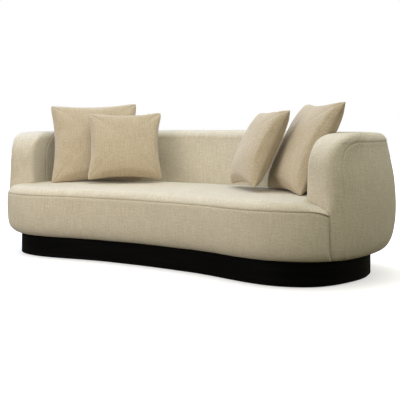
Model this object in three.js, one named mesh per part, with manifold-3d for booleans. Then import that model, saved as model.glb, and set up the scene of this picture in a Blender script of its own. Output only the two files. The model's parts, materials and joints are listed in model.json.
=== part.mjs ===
// Curved sofa on a kidney-shaped plinth: plinth, timber frames, foam, fabric covers and four loose cushions.
// Millimetres, +Z up, +X along the length, +Y to the back. Origin on the floor, in the middle of the box.
import * as THREE from 'three';
import { mergeVertices } from 'three/addons/utils/BufferGeometryUtils.js';
import Module from 'manifold-3d';

const wasm = await Module();
wasm.setup();

// ---------------------------------------------------------------- driving dimensions
const Y_SHIFT = 460;            // plan curves are drawn from the front bulge of the plinth
const GLIDE_H = 4;
const PLINTH_TOP = 124;
const FASCIA_T = 18;
const BODY_BOTTOM = 126.5;
const OVERHANG_FRONT = 80;      // fabric bulge beyond the plinth
const OVERHANG_BACK = 130;
const SEAT_SEAM_Z = 367;
const SEAT_TOP_Z = 421;
const CREST_ARM = 735;
const CREST_BACK = 746;
const CREST_R = 50;
const NOSE_R = 170;             // side-view rounding of the arm fronts
const OUTER_LEAN = 46;
const INNER_LEAN_BACK = 38;
const INNER_LEAN_ARM = 12;
const COVER_T = 1.5;
const FOAM_INSET = 8;
const N_HALF = 10;              // stations from the back centre to an arm front
const U_NOSE = 0.1955;          // where the arm front meets the seat border, along the plinth curve

// right half of the plinth outline, front centre to back centre
const PLINTH = [[0, 86], [100, 84], [200, 79], [320, 72], [443, 53], [565, 26], [678, 6], [780, 0], [868, 14],
  [945, 47], [1010, 101], [1059, 190], [1090, 317], [1100, 420], [1090, 510], [1040, 660], [930, 760],
  [750, 820], [500, 850], [250, 865], [0, 870]];
// right half of the line where the seat meets arms and back, back centre to arm front
const INNER = [[0, 708], [85, 704], [180, 696], [333, 672], [492, 621], [620, 575], [746, 527], [810, 494],
  [870, 455], [921, 405], [944, 340], [948, 281], [943, 180], [936, 120]];

// ---------------------------------------------------------------- plan curves
const V2 = (x, y) => new THREE.Vector2(x, y);
const closedPts = PLINTH.concat(PLINTH.slice(1, -1).reverse().map(([x, y]) => [-x, y]));
const plinthCurve = new THREE.CatmullRomCurve3(closedPts.map(([x, y]) => new THREE.Vector3(x, y, 0)), true, 'centripetal');
plinthCurve.arcLengthDivisions = 2000;
const innerPts = INNER.slice(1).reverse().map(([x, y]) => [-x, y]).concat(INNER);
const innerCurve = new THREE.CatmullRomCurve3(innerPts.map(([x, y]) => new THREE.Vector3(x, y, 0)), false, 'centripetal');
innerCurve.arcLengthDivisions = 2000;
const OUTER_HALF = plinthCurve.getLength() / 2 * (0.5 - U_NOSE) * 2 + 120;
const INNER_HALF = innerCurve.getLength() / 2;

const smooth = (a, b, x) => { const t = Math.min(1, Math.max(0, (x - a) / (b - a))); return t * t * (3 - 2 * t); };
const lerp = (a, b, t) => a + (b - a) * t;

function plinthPoint(u, out = 0) {
  // u in [-0.5, 0.5], 0 is the front centre; mirrored so both halves match
  const a = Math.abs(u);
  const p = plinthCurve.getPointAt(a);
  const t = plinthCurve.getTangentAt(Math.min(a, 0.5));
  const n = V2(t.y, -t.x);
  if (a === 0 || a === 0.5) n.x = 0;
  const s = u < 0 ? -1 : 1;
  return V2(s * (p.x + n.x * out), p.y + n.y * out - Y_SHIFT);
}
const overhang = (u) => lerp(OVERHANG_FRONT, OVERHANG_BACK, smooth(0.1874, 0.237, Math.abs(u)));
const outerPoint = (u, inset) => plinthPoint(u, overhang(u) - inset);

function innerPoint(q, out = 0) {
  // q in [-1, 1], 0 is the back centre; out moves away from the seat
  const a = Math.abs(q);
  const p = innerCurve.getPointAt(0.5 + 0.5 * a);
  const t = innerCurve.getTangentAt(0.5 + 0.5 * a);
  const n = V2(-t.y, t.x);
  if (a === 0) n.x = 0;
  const s = q < 0 ? -1 : 1;
  return V2(s * (p.x + n.x * out), p.y + n.y * out - Y_SHIFT);
}
const uOf = (q) => Math.sign(q || 1) * lerp(0.5, U_NOSE, Math.abs(q));

// ---------------------------------------------------------------- shell section
function crest(q) { return lerp(CREST_BACK, CREST_ARM, smooth(0.2, 0.7, Math.abs(q))); }
function section(q, delta) {
  const ov = overhang(uOf(q)) - 10, zc = crest(q), T = 300;
  const lean = lerp(INNER_LEAN_BACK, INNER_LEAN_ARM, smooth(0.35, 0.75, Math.abs(q)));
  const c = (deg) => Math.cos(deg * Math.PI / 180), s = (deg) => Math.sin(deg * Math.PI / 180);
  const outer = [[ov, BODY_BOTTOM], [0.72 * ov, 131], [0.46 * ov, 153], [0.27 * ov, 190], [0.12 * ov, 245], [1, 350], [5, 470], [24, 590]];
  const inner = [[0, BODY_BOTTOM], [0, 131], [0, 153], [0, 190], [0, 245], [0, 350], [0.19 * lean, 470], [0.63 * lean, 590]];
  for (const a of [0, 30, 60, 90]) {
    outer.push([OUTER_LEAN + CREST_R * (1 - c(a)), zc - CREST_R * (1 - s(a))]);
    inner.push([lean + CREST_R * (1 - c(a)), zc - CREST_R * (1 - s(a))]);
  }
  // one polyline over the top, offset inwards by delta
  const line = outer.map(([d, z]) => [d, z]).concat([[T / 2, zc + 4]], inner.slice().reverse().map(([e, z]) => [T - e, z]));
  if (!delta) return line.map(([x, z], k) => ({ x, z, k }));
  const res = [];
  for (let k = 0; k < line.length; k++) {
    const p = line[k], a = line[Math.max(0, k - 1)], b = line[Math.min(line.length - 1, k + 1)];
    const n = (f, g) => { const dx = g[0] - f[0], dz = g[1] - f[1], l = Math.hypot(dx, dz) || 1; return [dz / l, -dx / l]; };
    let n1 = k > 0 ? n(a, p) : n(p, b), n2 = k < line.length - 1 ? n(p, b) : n(a, p);
    let nx = n1[0] + n2[0], nz = n1[1] + n2[1]; const l = Math.hypot(nx, nz);
    nx /= l; nz /= l;
    const m = Math.min(1.6, 1 / (nx * n1[0] + nz * n1[1]));
    res.push({ x: p[0] + nx * delta * m, z: p[1] + nz * delta * m, k });
  }
  res[res.length - 1].x = T - delta;
  res[0].z = res[res.length - 1].z = BODY_BOTTOM + (delta > COVER_T ? 2.5 : 0);
  return res;
}
const LEVELS = 12, MID = 12, K = 25;   // levels per side, index of the top middle, points in a section

function recede(z, zc, delta) {
  const h = z + delta - (zc - NOSE_R);
  const r = h <= 0 ? 0 : NOSE_R - Math.sqrt(Math.max(0, NOSE_R * NOSE_R - Math.min(h, NOSE_R) ** 2));
  return r;
}
// a point of the shell surface at station i (-N..N), section index k, inset delta
function shellPoint(i, k, delta = 0, back = 0) {
  const q0 = i / N_HALF, sec = section(q0, delta)[k], T = 300;
  const zc = crest(q0), cut = recede(sec.z, zc, delta) + back + (Math.abs(i) >= N_HALF ? delta : 0);
  const qo = q0 * (1 - cut / OUTER_HALF), qi = q0 * (1 - cut / INNER_HALF);
  const so = k < MID ? sec.x : 46 + CREST_R, si = k > MID ? T - sec.x : section(q0, delta)[MID + 1].x;
  const uo = uOf(qo);
  if (k < MID) { const p = outerPoint(uo, so); return new THREE.Vector3(p.x, p.y, sec.z); }
  if (k > MID) { const p = innerPoint(qi, si); return new THREE.Vector3(p.x, p.y, sec.z); }
  const a = shellPoint(i, MID - 1, delta, back), b = shellPoint(i, MID + 1, delta, back);
  return new THREE.Vector3((a.x + b.x) / 2, (a.y + b.y) / 2, sec.z);
}
const NOSE_BACK = 26;   // the end station sits this far behind the arm's front face, so the edges are eased
const stationBack = (i) => (Math.abs(i) === N_HALF ? NOSE_BACK : 0);
// points across the arm front at level k, from the outer edge to the inner edge
function nosePoint(side, k, t, delta) {
  const a = shellPoint(side * N_HALF, k, delta, 0), b = shellPoint(side * N_HALF, K - 1 - k, delta, 0);
  return a.clone().lerp(b, t);
}

// ---------------------------------------------------------------- mesh helpers
class Soup {
  constructor() { this.p = []; }
  tri(a, b, c) { this.p.push(a.x, a.y, a.z, b.x, b.y, b.z, c.x, c.y, c.z); }
  quad(a, b, c, d) { this.tri(a, b, c); this.tri(a, c, d); }
  geometry() {
    let g = new THREE.BufferGeometry();
    g.setAttribute('position', new THREE.Float32BufferAttribute(this.p, 3));
    g = mergeVertices(g, 1e-3);
    const idx = [], ix = g.index.array;
    for (let i = 0; i < ix.length; i += 3) {
      if (ix[i] !== ix[i + 1] && ix[i + 1] !== ix[i + 2] && ix[i] !== ix[i + 2]) idx.push(ix[i], ix[i + 1], ix[i + 2]);
    }
    g.setIndex(idx);
    // faces outward: flip if the signed volume is negative
    const pos = g.attributes.position, A = new THREE.Vector3(), B = new THREE.Vector3(), C = new THREE.Vector3();
    let v = 0;
    for (let i = 0; i < idx.length; i += 3) {
      A.fromBufferAttribute(pos, idx[i]); B.fromBufferAttribute(pos, idx[i + 1]); C.fromBufferAttribute(pos, idx[i + 2]);
      v += A.dot(B.cross(C)) / 6;
    }
    if (v < 0) for (let i = 0; i < idx.length; i += 3) { const t = idx[i + 1]; idx[i + 1] = idx[i + 2]; idx[i + 2] = t; }
    g.setIndex(idx);
    g.computeVertexNormals();
    return g;
  }
}
// closed sheet between two matching grids [row][column]
function sheet(front, back) {
  const s = new Soup(), R = front.length, C = front[0].length;
  for (let r = 0; r < R - 1; r++) for (let c = 0; c < C - 1; c++) {
    s.quad(front[r][c], front[r][c + 1], front[r + 1][c + 1], front[r + 1][c]);
    s.quad(back[r][c], back[r + 1][c], back[r + 1][c + 1], back[r][c + 1]);
  }
  for (let c = 0; c < C - 1; c++) {
    s.quad(front[0][c + 1], front[0][c], back[0][c], back[0][c + 1]);
    s.quad(front[R - 1][c], front[R - 1][c + 1], back[R - 1][c + 1], back[R - 1][c]);
  }
  for (let r = 0; r < R - 1; r++) {
    s.quad(front[r][0], front[r + 1][0], back[r + 1][0], back[r][0]);
    s.quad(front[r + 1][C - 1], front[r][C - 1], back[r][C - 1], back[r + 1][C - 1]);
  }
  return s.geometry();
}
function capTris(ring) {
  const c = ring.map((p) => V2(p.x, p.y));
  return THREE.ShapeUtils.triangulateShape(c, []);
}
// solid through stacked rings of equal count
function loft(rings) {
  const s = new Soup(), n = rings[0].length, top = rings[rings.length - 1], bot = rings[0];
  for (let r = 0; r < rings.length - 1; r++) for (let i = 0; i < n; i++) {
    const j = (i + 1) % n;
    s.quad(rings[r][i], rings[r][j], rings[r + 1][j], rings[r + 1][i]);
  }
  for (const [a, b, c] of capTris(top)) s.tri(top[a], top[b], top[c]);
  for (const [a, b, c] of capTris(bot)) s.tri(bot[a], bot[c], bot[b]);
  return s.geometry();
}
// cap-shaped sheet: outer rings and inner rings, both closed at the top, joined at the lowest ring
function dish(outer, inner) {
  const s = new Soup(), n = outer[0].length;
  for (const [rings, f] of [[outer, false], [inner, true]]) {
    for (let r = 0; r < rings.length - 1; r++) for (let i = 0; i < n; i++) {
      const j = (i + 1) % n;
      if (!f) s.quad(rings[r][i], rings[r][j], rings[r + 1][j], rings[r + 1][i]);
      else s.quad(rings[r][j], rings[r][i], rings[r + 1][i], rings[r + 1][j]);
    }
    const top = rings[rings.length - 1];
    for (const [a, b, c] of capTris(top)) { if (!f) s.tri(top[a], top[b], top[c]); else s.tri(top[a], top[c], top[b]); }
  }
  for (let i = 0; i < n; i++) { const j = (i + 1) % n; s.quad(outer[0][j], outer[0][i], inner[0][i], inner[0][j]); }
  return s.geometry();
}
function prism(points, z0, z1) {
  const sh = new THREE.Shape(points.map((p) => V2(p.x, p.y)));
  const g = new THREE.ExtrudeGeometry(sh, { depth: z1 - z0, bevelEnabled: false, steps: 1 });
  g.translate(0, 0, z0);
  return g;
}
function toSolid(geometry) {
  let g = geometry.clone();
  g.deleteAttribute('normal'); if (g.attributes.uv) g.deleteAttribute('uv');
  g = mergeVertices(g, 1e-4);
  return new wasm.Manifold(new wasm.Mesh({ numProp: 3, vertProperties: new Float32Array(g.attributes.position.array), triVerts: new Uint32Array(g.index.array) }));
}
function fromSolid(solid) {
  const m = solid.getMesh();
  const g = new THREE.BufferGeometry();
  g.setAttribute('position', new THREE.Float32BufferAttribute(m.vertProperties, 3));
  g.setIndex(Array.from(m.triVerts));
  g.computeVertexNormals();
  return g;
}
function cut(geometry, tools) {
  let s = toSolid(geometry);
  for (const t of tools) s = s.subtract(toSolid(t));
  return fromSolid(s);
}
function cylinder(x, y, z0, z1, r, n = 16) {
  const g = new THREE.CylinderGeometry(r, r, z1 - z0, n);
  g.rotateX(Math.PI / 2); g.translate(x, y, (z0 + z1) / 2);
  return g;
}
function box(x0, x1, y0, y1, z0, z1) {
  const g = new THREE.BoxGeometry(x1 - x0, y1 - y0, z1 - z0);
  g.translate((x0 + x1) / 2, (y0 + y1) / 2, (z0 + z1) / 2);
  return g;
}

// ---------------------------------------------------------------- materials and scene graph
const sofa = new THREE.Group();
sofa.name = 'sofa';
const FINISH = {
  fabric: { color: 0xcfc2a8, roughness: 0.95, metalness: 0 },
  pillow: { color: 0xd6cab2, roughness: 0.95, metalness: 0 },
  black_wood: { color: 0x17171a, roughness: 0.5, metalness: 0 },
  timber: { color: 0xc79b62, roughness: 0.7, metalness: 0 },
  plywood: { color: 0xcfac78, roughness: 0.7, metalness: 0 },
  foam: { color: 0xe9dfb8, roughness: 1, metalness: 0 },
  webbing: { color: 0x3b3a38, roughness: 0.9, metalness: 0 },
  dust: { color: 0x1d1d1e, roughness: 1, metalness: 0 },
  steel: { color: 0x9a9c9e, roughness: 0.35, metalness: 1 },
  glide: { color: 0x202020, roughness: 0.6, metalness: 0 },
  fill: { color: 0xf2f0ea, roughness: 1, metalness: 0 },
};
function add(name, geometry, finish, parent = sofa) {
  const m = new THREE.Mesh(geometry, new THREE.MeshStandardMaterial(FINISH[finish]));
  m.name = name;
  parent.add(m);
  return m;
}

// ---------------------------------------------------------------- plinth
function ribbon(u0, u1, n, out0, out1) {
  // closed plan strip along the plinth curve, u0 < u1, may pass 0.5
  const wrap = (u) => (u > 0.5 ? u - 1 : u);
  const a = [], b = [];
  for (let i = 0; i <= n; i++) { const u = wrap(lerp(u0, u1, i / n)); a.push(plinthPoint(u, out0)); b.push(plinthPoint(u, out1)); }
  return a.concat(b.reverse());
}
const Z_F0 = GLIDE_H, Z_F1 = PLINTH_TOP;
const U_SIDE = 0.208, U_REAR = 0.318, GAP = 0.00012;
add('plinth_fascia_front', prism(ribbon(-U_SIDE + GAP, U_SIDE - GAP, 30, 0, -FASCIA_T), Z_F0, Z_F1), 'black_wood');
add('plinth_fascia_right', prism(ribbon(U_SIDE + GAP, U_REAR - GAP, 9, 0, -FASCIA_T), Z_F0, Z_F1), 'black_wood');
add('plinth_fascia_back', prism(ribbon(U_REAR + GAP, 1 - U_REAR - GAP, 20, 0, -FASCIA_T), Z_F0, Z_F1), 'black_wood');
add('plinth_fascia_left', prism(ribbon(1 - U_REAR + GAP, 1 - U_SIDE - GAP, 9, 0, -FASCIA_T), Z_F0, Z_F1), 'black_wood');

const ringOf = (out, n) => Array.from({ length: n }, (_, i) => plinthPoint(i / n > 0.5 ? i / n - 1 : i / n, out));
const BOLTS = [[-450, 250 - Y_SHIFT], [450, 250 - Y_SHIFT], [-450, 560 - Y_SHIFT], [450, 560 - Y_SHIFT]];
const boltHoles = (z0, z1) => BOLTS.map(([x, y]) => cylinder(x, y, z0, z1, 4.6, 12));
add('plinth_top_panel', cut(prism(ringOf(-FASCIA_T - 2, 44), 104, PLINTH_TOP), boltHoles(90, 130)), 'plywood');
for (const [name, x, y0, y1] of [['left', -700, 30, 800], ['centre', 0, 112, 842], ['right', 700, 30, 800]]) {
  add(`plinth_brace_${name}`, box(x - 9, x + 9, y0 - Y_SHIFT, y1 - Y_SHIFT, Z_F0, 103.5), 'plywood');
}
for (const [name, x, y] of [['front_left', -700, 70], ['front_right', 700, 70],
  ['rear_left', -700, 760], ['rear_right', 700, 760]]) {
  add(`glide_${name}`, cylinder(x, y - Y_SHIFT, 0, GLIDE_H - 0.4, 22, 16), 'glide');
}
for (let i = 0; i < 4; i++) {
  const [x, y] = BOLTS[i];
  const prof = [[0, 97], [8, 97], [8, 103.5], [4, 103.5], [4, 182], [0, 182]].map(([r, z]) => V2(r, z));
  const g = new THREE.LatheGeometry(prof, 12);
  g.rotateX(Math.PI / 2); g.translate(x, y, 0);
  add(`base_bolt_${i + 1}`, g, 'steel');
}

// ---------------------------------------------------------------- seat frame
// front boundary of the seat, from the left arm to the right arm
const N_FRONT = 26;
const frontU = Array.from({ length: N_FRONT + 1 }, (_, i) => lerp(-U_NOSE, U_NOSE, i / N_FRONT));
const innerQ = (q, gap) => innerPoint(q, -gap);
const stations = Array.from({ length: 2 * N_HALF + 1 }, (_, i) => i - N_HALF);
// a point on the line of the arm front, this far in from the outline and this far in front of the arm
function alongArm(side, inset, gap) {
  const corner = innerPoint(side, 0), o = outerPoint(side * U_NOSE, 0);
  const dir = corner.clone().sub(o).normalize();
  const nrm = V2(side * dir.y, -side * dir.x); if (nrm.y > 0) nrm.negate();
  return o.addScaledVector(dir, inset).addScaledVector(nrm, gap);
}
function seatRing(z, inset, gap) {
  // front edge left to right, then back along the arms and back
  const ring = [];
  const shift = Math.min(inset, 60);
  for (const u of frontU) {
    const e = Math.abs(u) === U_NOSE;
    const p = outerPoint(u, inset);
    if (e) p.copy(alongArm(Math.sign(u), shift * 1.02 + 1, gap));
    ring.push(new THREE.Vector3(p.x, p.y, z));
  }
  for (let i = N_HALF; i >= -N_HALF; i--) {
    const q = i / N_HALF, p = innerQ(q, gap);
    if (Math.abs(i) === N_HALF) p.y -= gap;
    ring.push(new THREE.Vector3(p.x, p.y, z));
  }
  return ring;
}
const RAIL_Z0 = BODY_BOTTOM + 1.5, RAIL_Z1 = 262;
const frontBand = (u0, u1, n, d0, d1) => {
  const a = [], b = [];
  for (let i = 0; i <= n; i++) { const u = lerp(u0, u1, i / n); a.push(outerPoint(u, d0)); b.push(outerPoint(u, d1)); }
  return a.concat(b.reverse());
};
const backBand = (q0, q1, n, g0, g1) => {
  const a = [], b = [];
  for (let i = 0; i <= n; i++) { const q = lerp(q0, q1, i / n); a.push(innerQ(q, g0)); b.push(innerQ(q, g1)); }
  return a.concat(b.reverse());
};
add('seat_rail_front', prism(frontBand(-0.168, 0.168, 26, 98, 122), RAIL_Z0, RAIL_Z1), 'timber');
add('seat_rail_rear', prism(backBand(-0.66, 0.66, 16, 8, 32), RAIL_Z0, RAIL_Z1), 'timber');
for (const s of [-1, 1]) {
  const n = s < 0 ? 'left' : 'right';
  add(`seat_rail_${n}`, prism([V2(s * 900, 150 - Y_SHIFT), V2(s * 924, 150 - Y_SHIFT), V2(s * 924, 330 - Y_SHIFT), V2(s * 900, 330 - Y_SHIFT)], RAIL_Z0, RAIL_Z1), 'timber');
}
const CROSS = [[-450, 172, 590], [0, 132, 674], [450, 172, 590]];
for (const [x, y0, y1] of CROSS) {
  const name = x < 0 ? 'left' : x > 0 ? 'right' : 'centre';
  const g = box(x - 24, x + 24, y0 - Y_SHIFT, y1 - Y_SHIFT, RAIL_Z0, 215);
  add(`seat_cross_rail_${name}`, x ? cut(g, boltHoles(100, 184)) : g, 'timber');
}
[-600, -300, -150, 150, 300, 600].forEach((x, i) => {
  const yb = Math.abs(x) > 700 ? 505 : Math.abs(x) > 500 ? 565 : Math.abs(x) > 200 ? 660 : 690;
  const yf = Math.abs(x) > 500 ? 46 : Math.abs(x) > 200 ? 98 : 112;
  add(`webbing_strap_${i + 1}`, box(x - 30, x + 30, yf - Y_SHIFT, yb - Y_SHIFT, RAIL_Z1 + 0.4, RAIL_Z1 + 3), 'webbing');
});
add('dust_cover', cut(prism(ringOf(4, 44), PLINTH_TOP + 0.5, PLINTH_TOP + 1.5), boltHoles(110, 130)), 'dust');

// ---------------------------------------------------------------- seat foam and covers
const SEAT_RINGS = [[SEAT_SEAM_Z, 3], [386, 7], [402, 17], [413, 32], [SEAT_TOP_Z, 58]];
const FOAM_Z0 = 270;
add('seat_foam', loft([[FOAM_Z0, 3 + FOAM_INSET], [320, 1 + FOAM_INSET], [SEAT_SEAM_Z, 3 + FOAM_INSET],
  [386 - 2, 7 + FOAM_INSET], [402 - 3, 17 + FOAM_INSET], [413 - 4, 32 + FOAM_INSET], [SEAT_TOP_Z - 5, 58 + FOAM_INSET]]
  .map(([z, d]) => seatRing(z, d, 8))), 'foam');
add('seat_top_cover', dish(SEAT_RINGS.map(([z, d], i) => seatRing(i ? z : z + 0.6, d, 4)),
  SEAT_RINGS.map(([z, d], i) => seatRing(i ? z - 1.5 : z + 0.6, d + 1.5, 5.5))), 'fabric');
const BORDER = [[BODY_BOTTOM, 70], [129, 54], [146, 36], [180, 17], [235, 5], [300, 0], [SEAT_SEAM_Z - 0.6, 3]];
// a line of points along the front of the seat at inset d, ending against the arms
const frontLine = (d, z, gap) => frontU.map((u) => {
  const p = Math.abs(u) === U_NOSE ? alongArm(Math.sign(u), d, gap) : outerPoint(u, d);
  return new THREE.Vector3(p.x, p.y, z);
});
const borderGrid = (inset, lift) => BORDER.map(([z, d], r) => frontLine(d + inset, r < 2 ? z + lift : z, 4));
add('seat_border_cover', sheet(borderGrid(0, 0), borderGrid(COVER_T, COVER_T)), 'fabric');
{
  const rows = [[BODY_BOTTOM + 5, 66], [132 + 3, 54], [146 + 2, 40], [180, 22], [235, 10], [FOAM_Z0 - 0.6, 6]];
  const f = rows.map(([z, d]) => frontLine(d, z, 6)), b = rows.map(([z]) => frontLine(94, z, 6));
  add('seat_border_foam', sheet(f, b), 'foam');
}

// ---------------------------------------------------------------- shell: foam, covers
function shellSolid(delta) {
  const s = new Soup(), g = [];
  for (const i of stations) g.push(Array.from({ length: K }, (_, k) => shellPoint(i, k, delta, stationBack(i))));
  for (let r = 0; r < g.length - 1; r++) {
    for (let k = 0; k < K - 1; k++) s.quad(g[r][k], g[r][k + 1], g[r + 1][k + 1], g[r + 1][k]);
    s.quad(g[r][K - 1], g[r][0], g[r + 1][0], g[r + 1][K - 1]);
  }
  for (const side of [-1, 1]) {
    const e = side < 0 ? g[0] : g[g.length - 1];
    const cols = [];
    for (let k = 0; k < LEVELS; k++) cols.push([e[k], nosePoint(side, k, 0.16, delta), nosePoint(side, k, 0.84, delta), e[K - 1 - k]]);
    for (let k = 0; k < LEVELS - 1; k++) for (let c = 0; c < 3; c++) {
      const [A, B, C, D] = [cols[k][c], cols[k][c + 1], cols[k + 1][c + 1], cols[k + 1][c]];
      if (side > 0) s.quad(D, C, B, A); else s.quad(A, B, C, D);
    }
    const t = cols[LEVELS - 1], b = cols[0], m = e[MID];
    const put = (a, c, d) => (side > 0 ? s.tri(d, c, a) : s.tri(a, c, d));
    put(t[0], t[1], m); put(t[1], t[2], m); put(t[2], t[3], m);
    const e0 = b[0], e3 = b[3];
    put(e0, e3, b[1]); put(e3, b[2], b[1]);
  }
  return s.geometry();
}
const slotOuter = (q, into = 0) => plinthPoint(uOf(q), -12 - into);
const slotInner = (q, into = 0) => innerPoint(q, 60 + into);
const SLOT_Q = Array.from({ length: 25 }, (_, j) => lerp(-0.9, 0.9, j / 24));
// plan strip between two lines inside the slot, along the shell
const slotBand = (a, b, qs = SLOT_Q) => qs.map(a).concat(qs.slice().reverse().map(b));
add('shell_foam', cut(shellSolid(FOAM_INSET), [prism(slotBand((q) => slotOuter(q), (q) => slotInner(q), [-0.92, ...SLOT_Q, 0.92]), 90, 602)]), 'foam');
const fullGrid = (i0, i1, k0, k1, delta) => {
  const g = [];
  for (let i = i0; i <= i1; i++) g.push(Array.from({ length: k1 - k0 + 1 }, (_, k) => shellPoint(i, k0 + k, delta, stationBack(i))));
  return g;
};
const K_SEAM = 8, K_LOW = K - 1 - 5;   // outer cover ends at the seam under the crest; inner cover tucks behind the seat
const NE = N_HALF - 1;
add('shell_outer_cover', sheet(fullGrid(-NE, NE, 0, K_SEAM, 0), fullGrid(-NE, NE, 0, K_SEAM, COVER_T)), 'fabric');
{
  // the top edge of this cover starts a hair above the outer cover's edge
  const lift = (g) => g.map((row) => { row[0] = row[0].clone().lerp(row[1], 0.06); return row; });
  add('shell_inner_cover', sheet(lift(fullGrid(-NE, NE, K_SEAM, K_LOW, 0)), lift(fullGrid(-NE, NE, K_SEAM, K_LOW, COVER_T))), 'fabric');
}
for (const side of [-1, 1]) {
  // arm-front cover: a cap over the end station and the front face
  const grid = (delta) => {
    const a = Array.from({ length: K }, (_, k) => shellPoint(side * NE, k, delta, 0).lerp(shellPoint(side * N_HALF, k, delta, NOSE_BACK), 0.03));
    const e = Array.from({ length: K }, (_, k) => shellPoint(side * N_HALF, k, delta, NOSE_BACK));
    const f = Array.from({ length: K }, (_, k) => (k < MID ? nosePoint(side, k, 0.16, delta) : k > MID ? nosePoint(side, K - 1 - k, 0.84, delta) : null));
    return [a, e, f];
  };
  const s = new Soup();
  const sheetOne = (g, flip) => {
    const put = (a, b, c) => (flip ? s.tri(c, b, a) : s.tri(a, b, c));
    const q4 = (a, b, c, d) => { put(a, b, c); put(a, c, d); };
    for (let k = 0; k < K - 1; k++) q4(g[0][k], g[0][k + 1], g[1][k + 1], g[1][k]);
    for (let k = 0; k < K - 1; k++) {
      if (k === MID - 1) put(g[1][k], g[1][MID], g[2][k]);
      else if (k === MID) put(g[1][MID], g[1][k + 1], g[2][k + 1]);
      else q4(g[1][k], g[1][k + 1], g[2][k + 1], g[2][k]);
    }
    put(g[2][MID - 1], g[1][MID], g[2][MID + 1]);
    for (let k = 0; k < MID - 1; k++) q4(g[2][k], g[2][k + 1], g[2][K - 2 - k], g[2][K - 1 - k]);
  };
  const G = grid(0), H = grid(COVER_T);
  sheetOne(G, side < 0); sheetOne(H, side > 0);
  const rim = (g) => [...g[0], g[1][K - 1], g[2][K - 1], g[2][0], g[1][0]];
  const A = rim(G), B = rim(H);
  for (let i = 0; i < A.length; i++) {
    const j = (i + 1) % A.length;
    if (side > 0) s.quad(A[j], A[i], B[i], B[j]); else s.quad(A[i], A[j], B[j], B[i]);
  }
  add(`arm_front_cover_${side < 0 ? 'left' : 'right'}`, s.geometry(), 'fabric');
}

// ---------------------------------------------------------------- shell frame in the foam's slot
const SZ0 = RAIL_Z0, SZ1 = 596;
add('shell_outer_ply', prism(slotBand((q) => slotOuter(q, 3), (q) => slotOuter(q, 12)), SZ0, SZ1), 'plywood');
add('shell_inner_ply', prism(slotBand((q) => slotInner(q, 9), (q) => slotInner(q, 3)), SZ0, SZ1), 'plywood');
const railBand = slotBand((q) => slotOuter(q, 14), (q) => slotInner(q, 11));
add('shell_bottom_rail', prism(railBand, SZ0, SZ0 + 24), 'timber');
add('shell_top_rail', prism(railBand, SZ1 - 24, SZ1), 'timber');
[-0.86, -0.45, 0, 0.45, 0.86].forEach((q, i) => {
  const o = slotOuter(q, 12), n = slotInner(q, 9), d = n.clone().sub(o).normalize(), w = V2(-d.y, d.x);
  const L = n.distanceTo(o), m = q ? 24 : 6;
  const c = (a, b) => o.clone().addScaledVector(d, a).addScaledVector(w, b);
  add(`shell_rib_${i + 1}`, prism([c(m, -12), c(L - m, -12), c(L - m, 12), c(m, 12)], SZ0 + 24.5, SZ1 - 24.5), 'timber');
});

// ---------------------------------------------------------------- loose cushions
// each cushion: a front cover, a back cover and a fibre insert, in its own group
const GRID = [-1, -0.86, -0.4, 0.4, 0.86, 1];
function pillowPoint(S, T, a, b, pull) {
  const x = S / 2 * a * (1 - pull * (1 - b * b) * a * a), y = S / 2 * b * (1 - pull * (1 - a * a) * b * b);
  const h = T / 2 * Math.pow(Math.max(0, (1 - a * a) * (1 - b * b)), 0.42);
  return [x, y, h];
}
function cushion(name, S, T, pos, azimuth, lean, roll) {
  const group = new THREE.Group();
  // local x across, local y up in the plane of the cushion, local z out of its front
  const az = azimuth * Math.PI / 180, le = lean * Math.PI / 180, ro = roll * Math.PI / 180;
  const h = new THREE.Vector3(Math.sin(az), -Math.cos(az), 0);
  const n = h.clone().multiplyScalar(Math.cos(le)).add(new THREE.Vector3(0, 0, Math.sin(le)));
  const up = h.clone().multiplyScalar(-Math.sin(le)).add(new THREE.Vector3(0, 0, Math.cos(le)));
  const x = new THREE.Vector3().crossVectors(up, n);
  const xr = x.clone().multiplyScalar(Math.cos(ro)).addScaledVector(up, Math.sin(ro));
  const yr = up.clone().multiplyScalar(Math.cos(ro)).addScaledVector(x, -Math.sin(ro));
  group.matrixAutoUpdate = false;
  group.matrix.makeBasis(xr, yr, n).setPosition(pos[0], pos[1] - Y_SHIFT, pos[2]);
  group.matrix.decompose(group.position, group.quaternion, group.scale);
  group.matrixAutoUpdate = true;
  sofa.add(group);
  const PULL = 0.075;
  for (const [part, s] of [['front', 1], ['back', -1]]) {
    const g = (off) => GRID.map((b) => GRID.map((a) => { const [px, py, hh] = pillowPoint(S, T, a, b, PULL); return new THREE.Vector3(px, py, s * (hh + off)); }));
    add(`${name}_${part}_cover`, sheet(g(1.8), g(0.5)), 'pillow', group);
  }
  const gi = (s) => GRID.map((b) => GRID.map((a) => { const [px, py, hh] = pillowPoint(S - 66, T - 26, a, b, PULL); return new THREE.Vector3(px, py, s * (hh + 3)); }));
  add(`${name}_insert`, sheet(gi(1), gi(-1)), 'fill', group);
}
const LEAN = 27;                // both cushions of a side lean the same way, so they lift off along one direction
cushion('cushion_left_large', 556, 140, [-704, 424, 680], 42, LEAN, 0);
cushion('cushion_left_small', 462, 122, [-451, 417, 649], 42, LEAN, 0);
cushion('cushion_right_small', 462, 122, [509, 420, 650], -42, LEAN, 1);
cushion('cushion_right_large', 548, 140, [742, 414, 678], -42, LEAN, 0);

export default sofa;
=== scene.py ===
"""Looks for the curved sofa: upholstery, loose cushions, plinth finish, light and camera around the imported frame."""

import json
import math

import bpy
import bmesh
import numpy as np
from mathutils import Matrix, Vector


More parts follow.
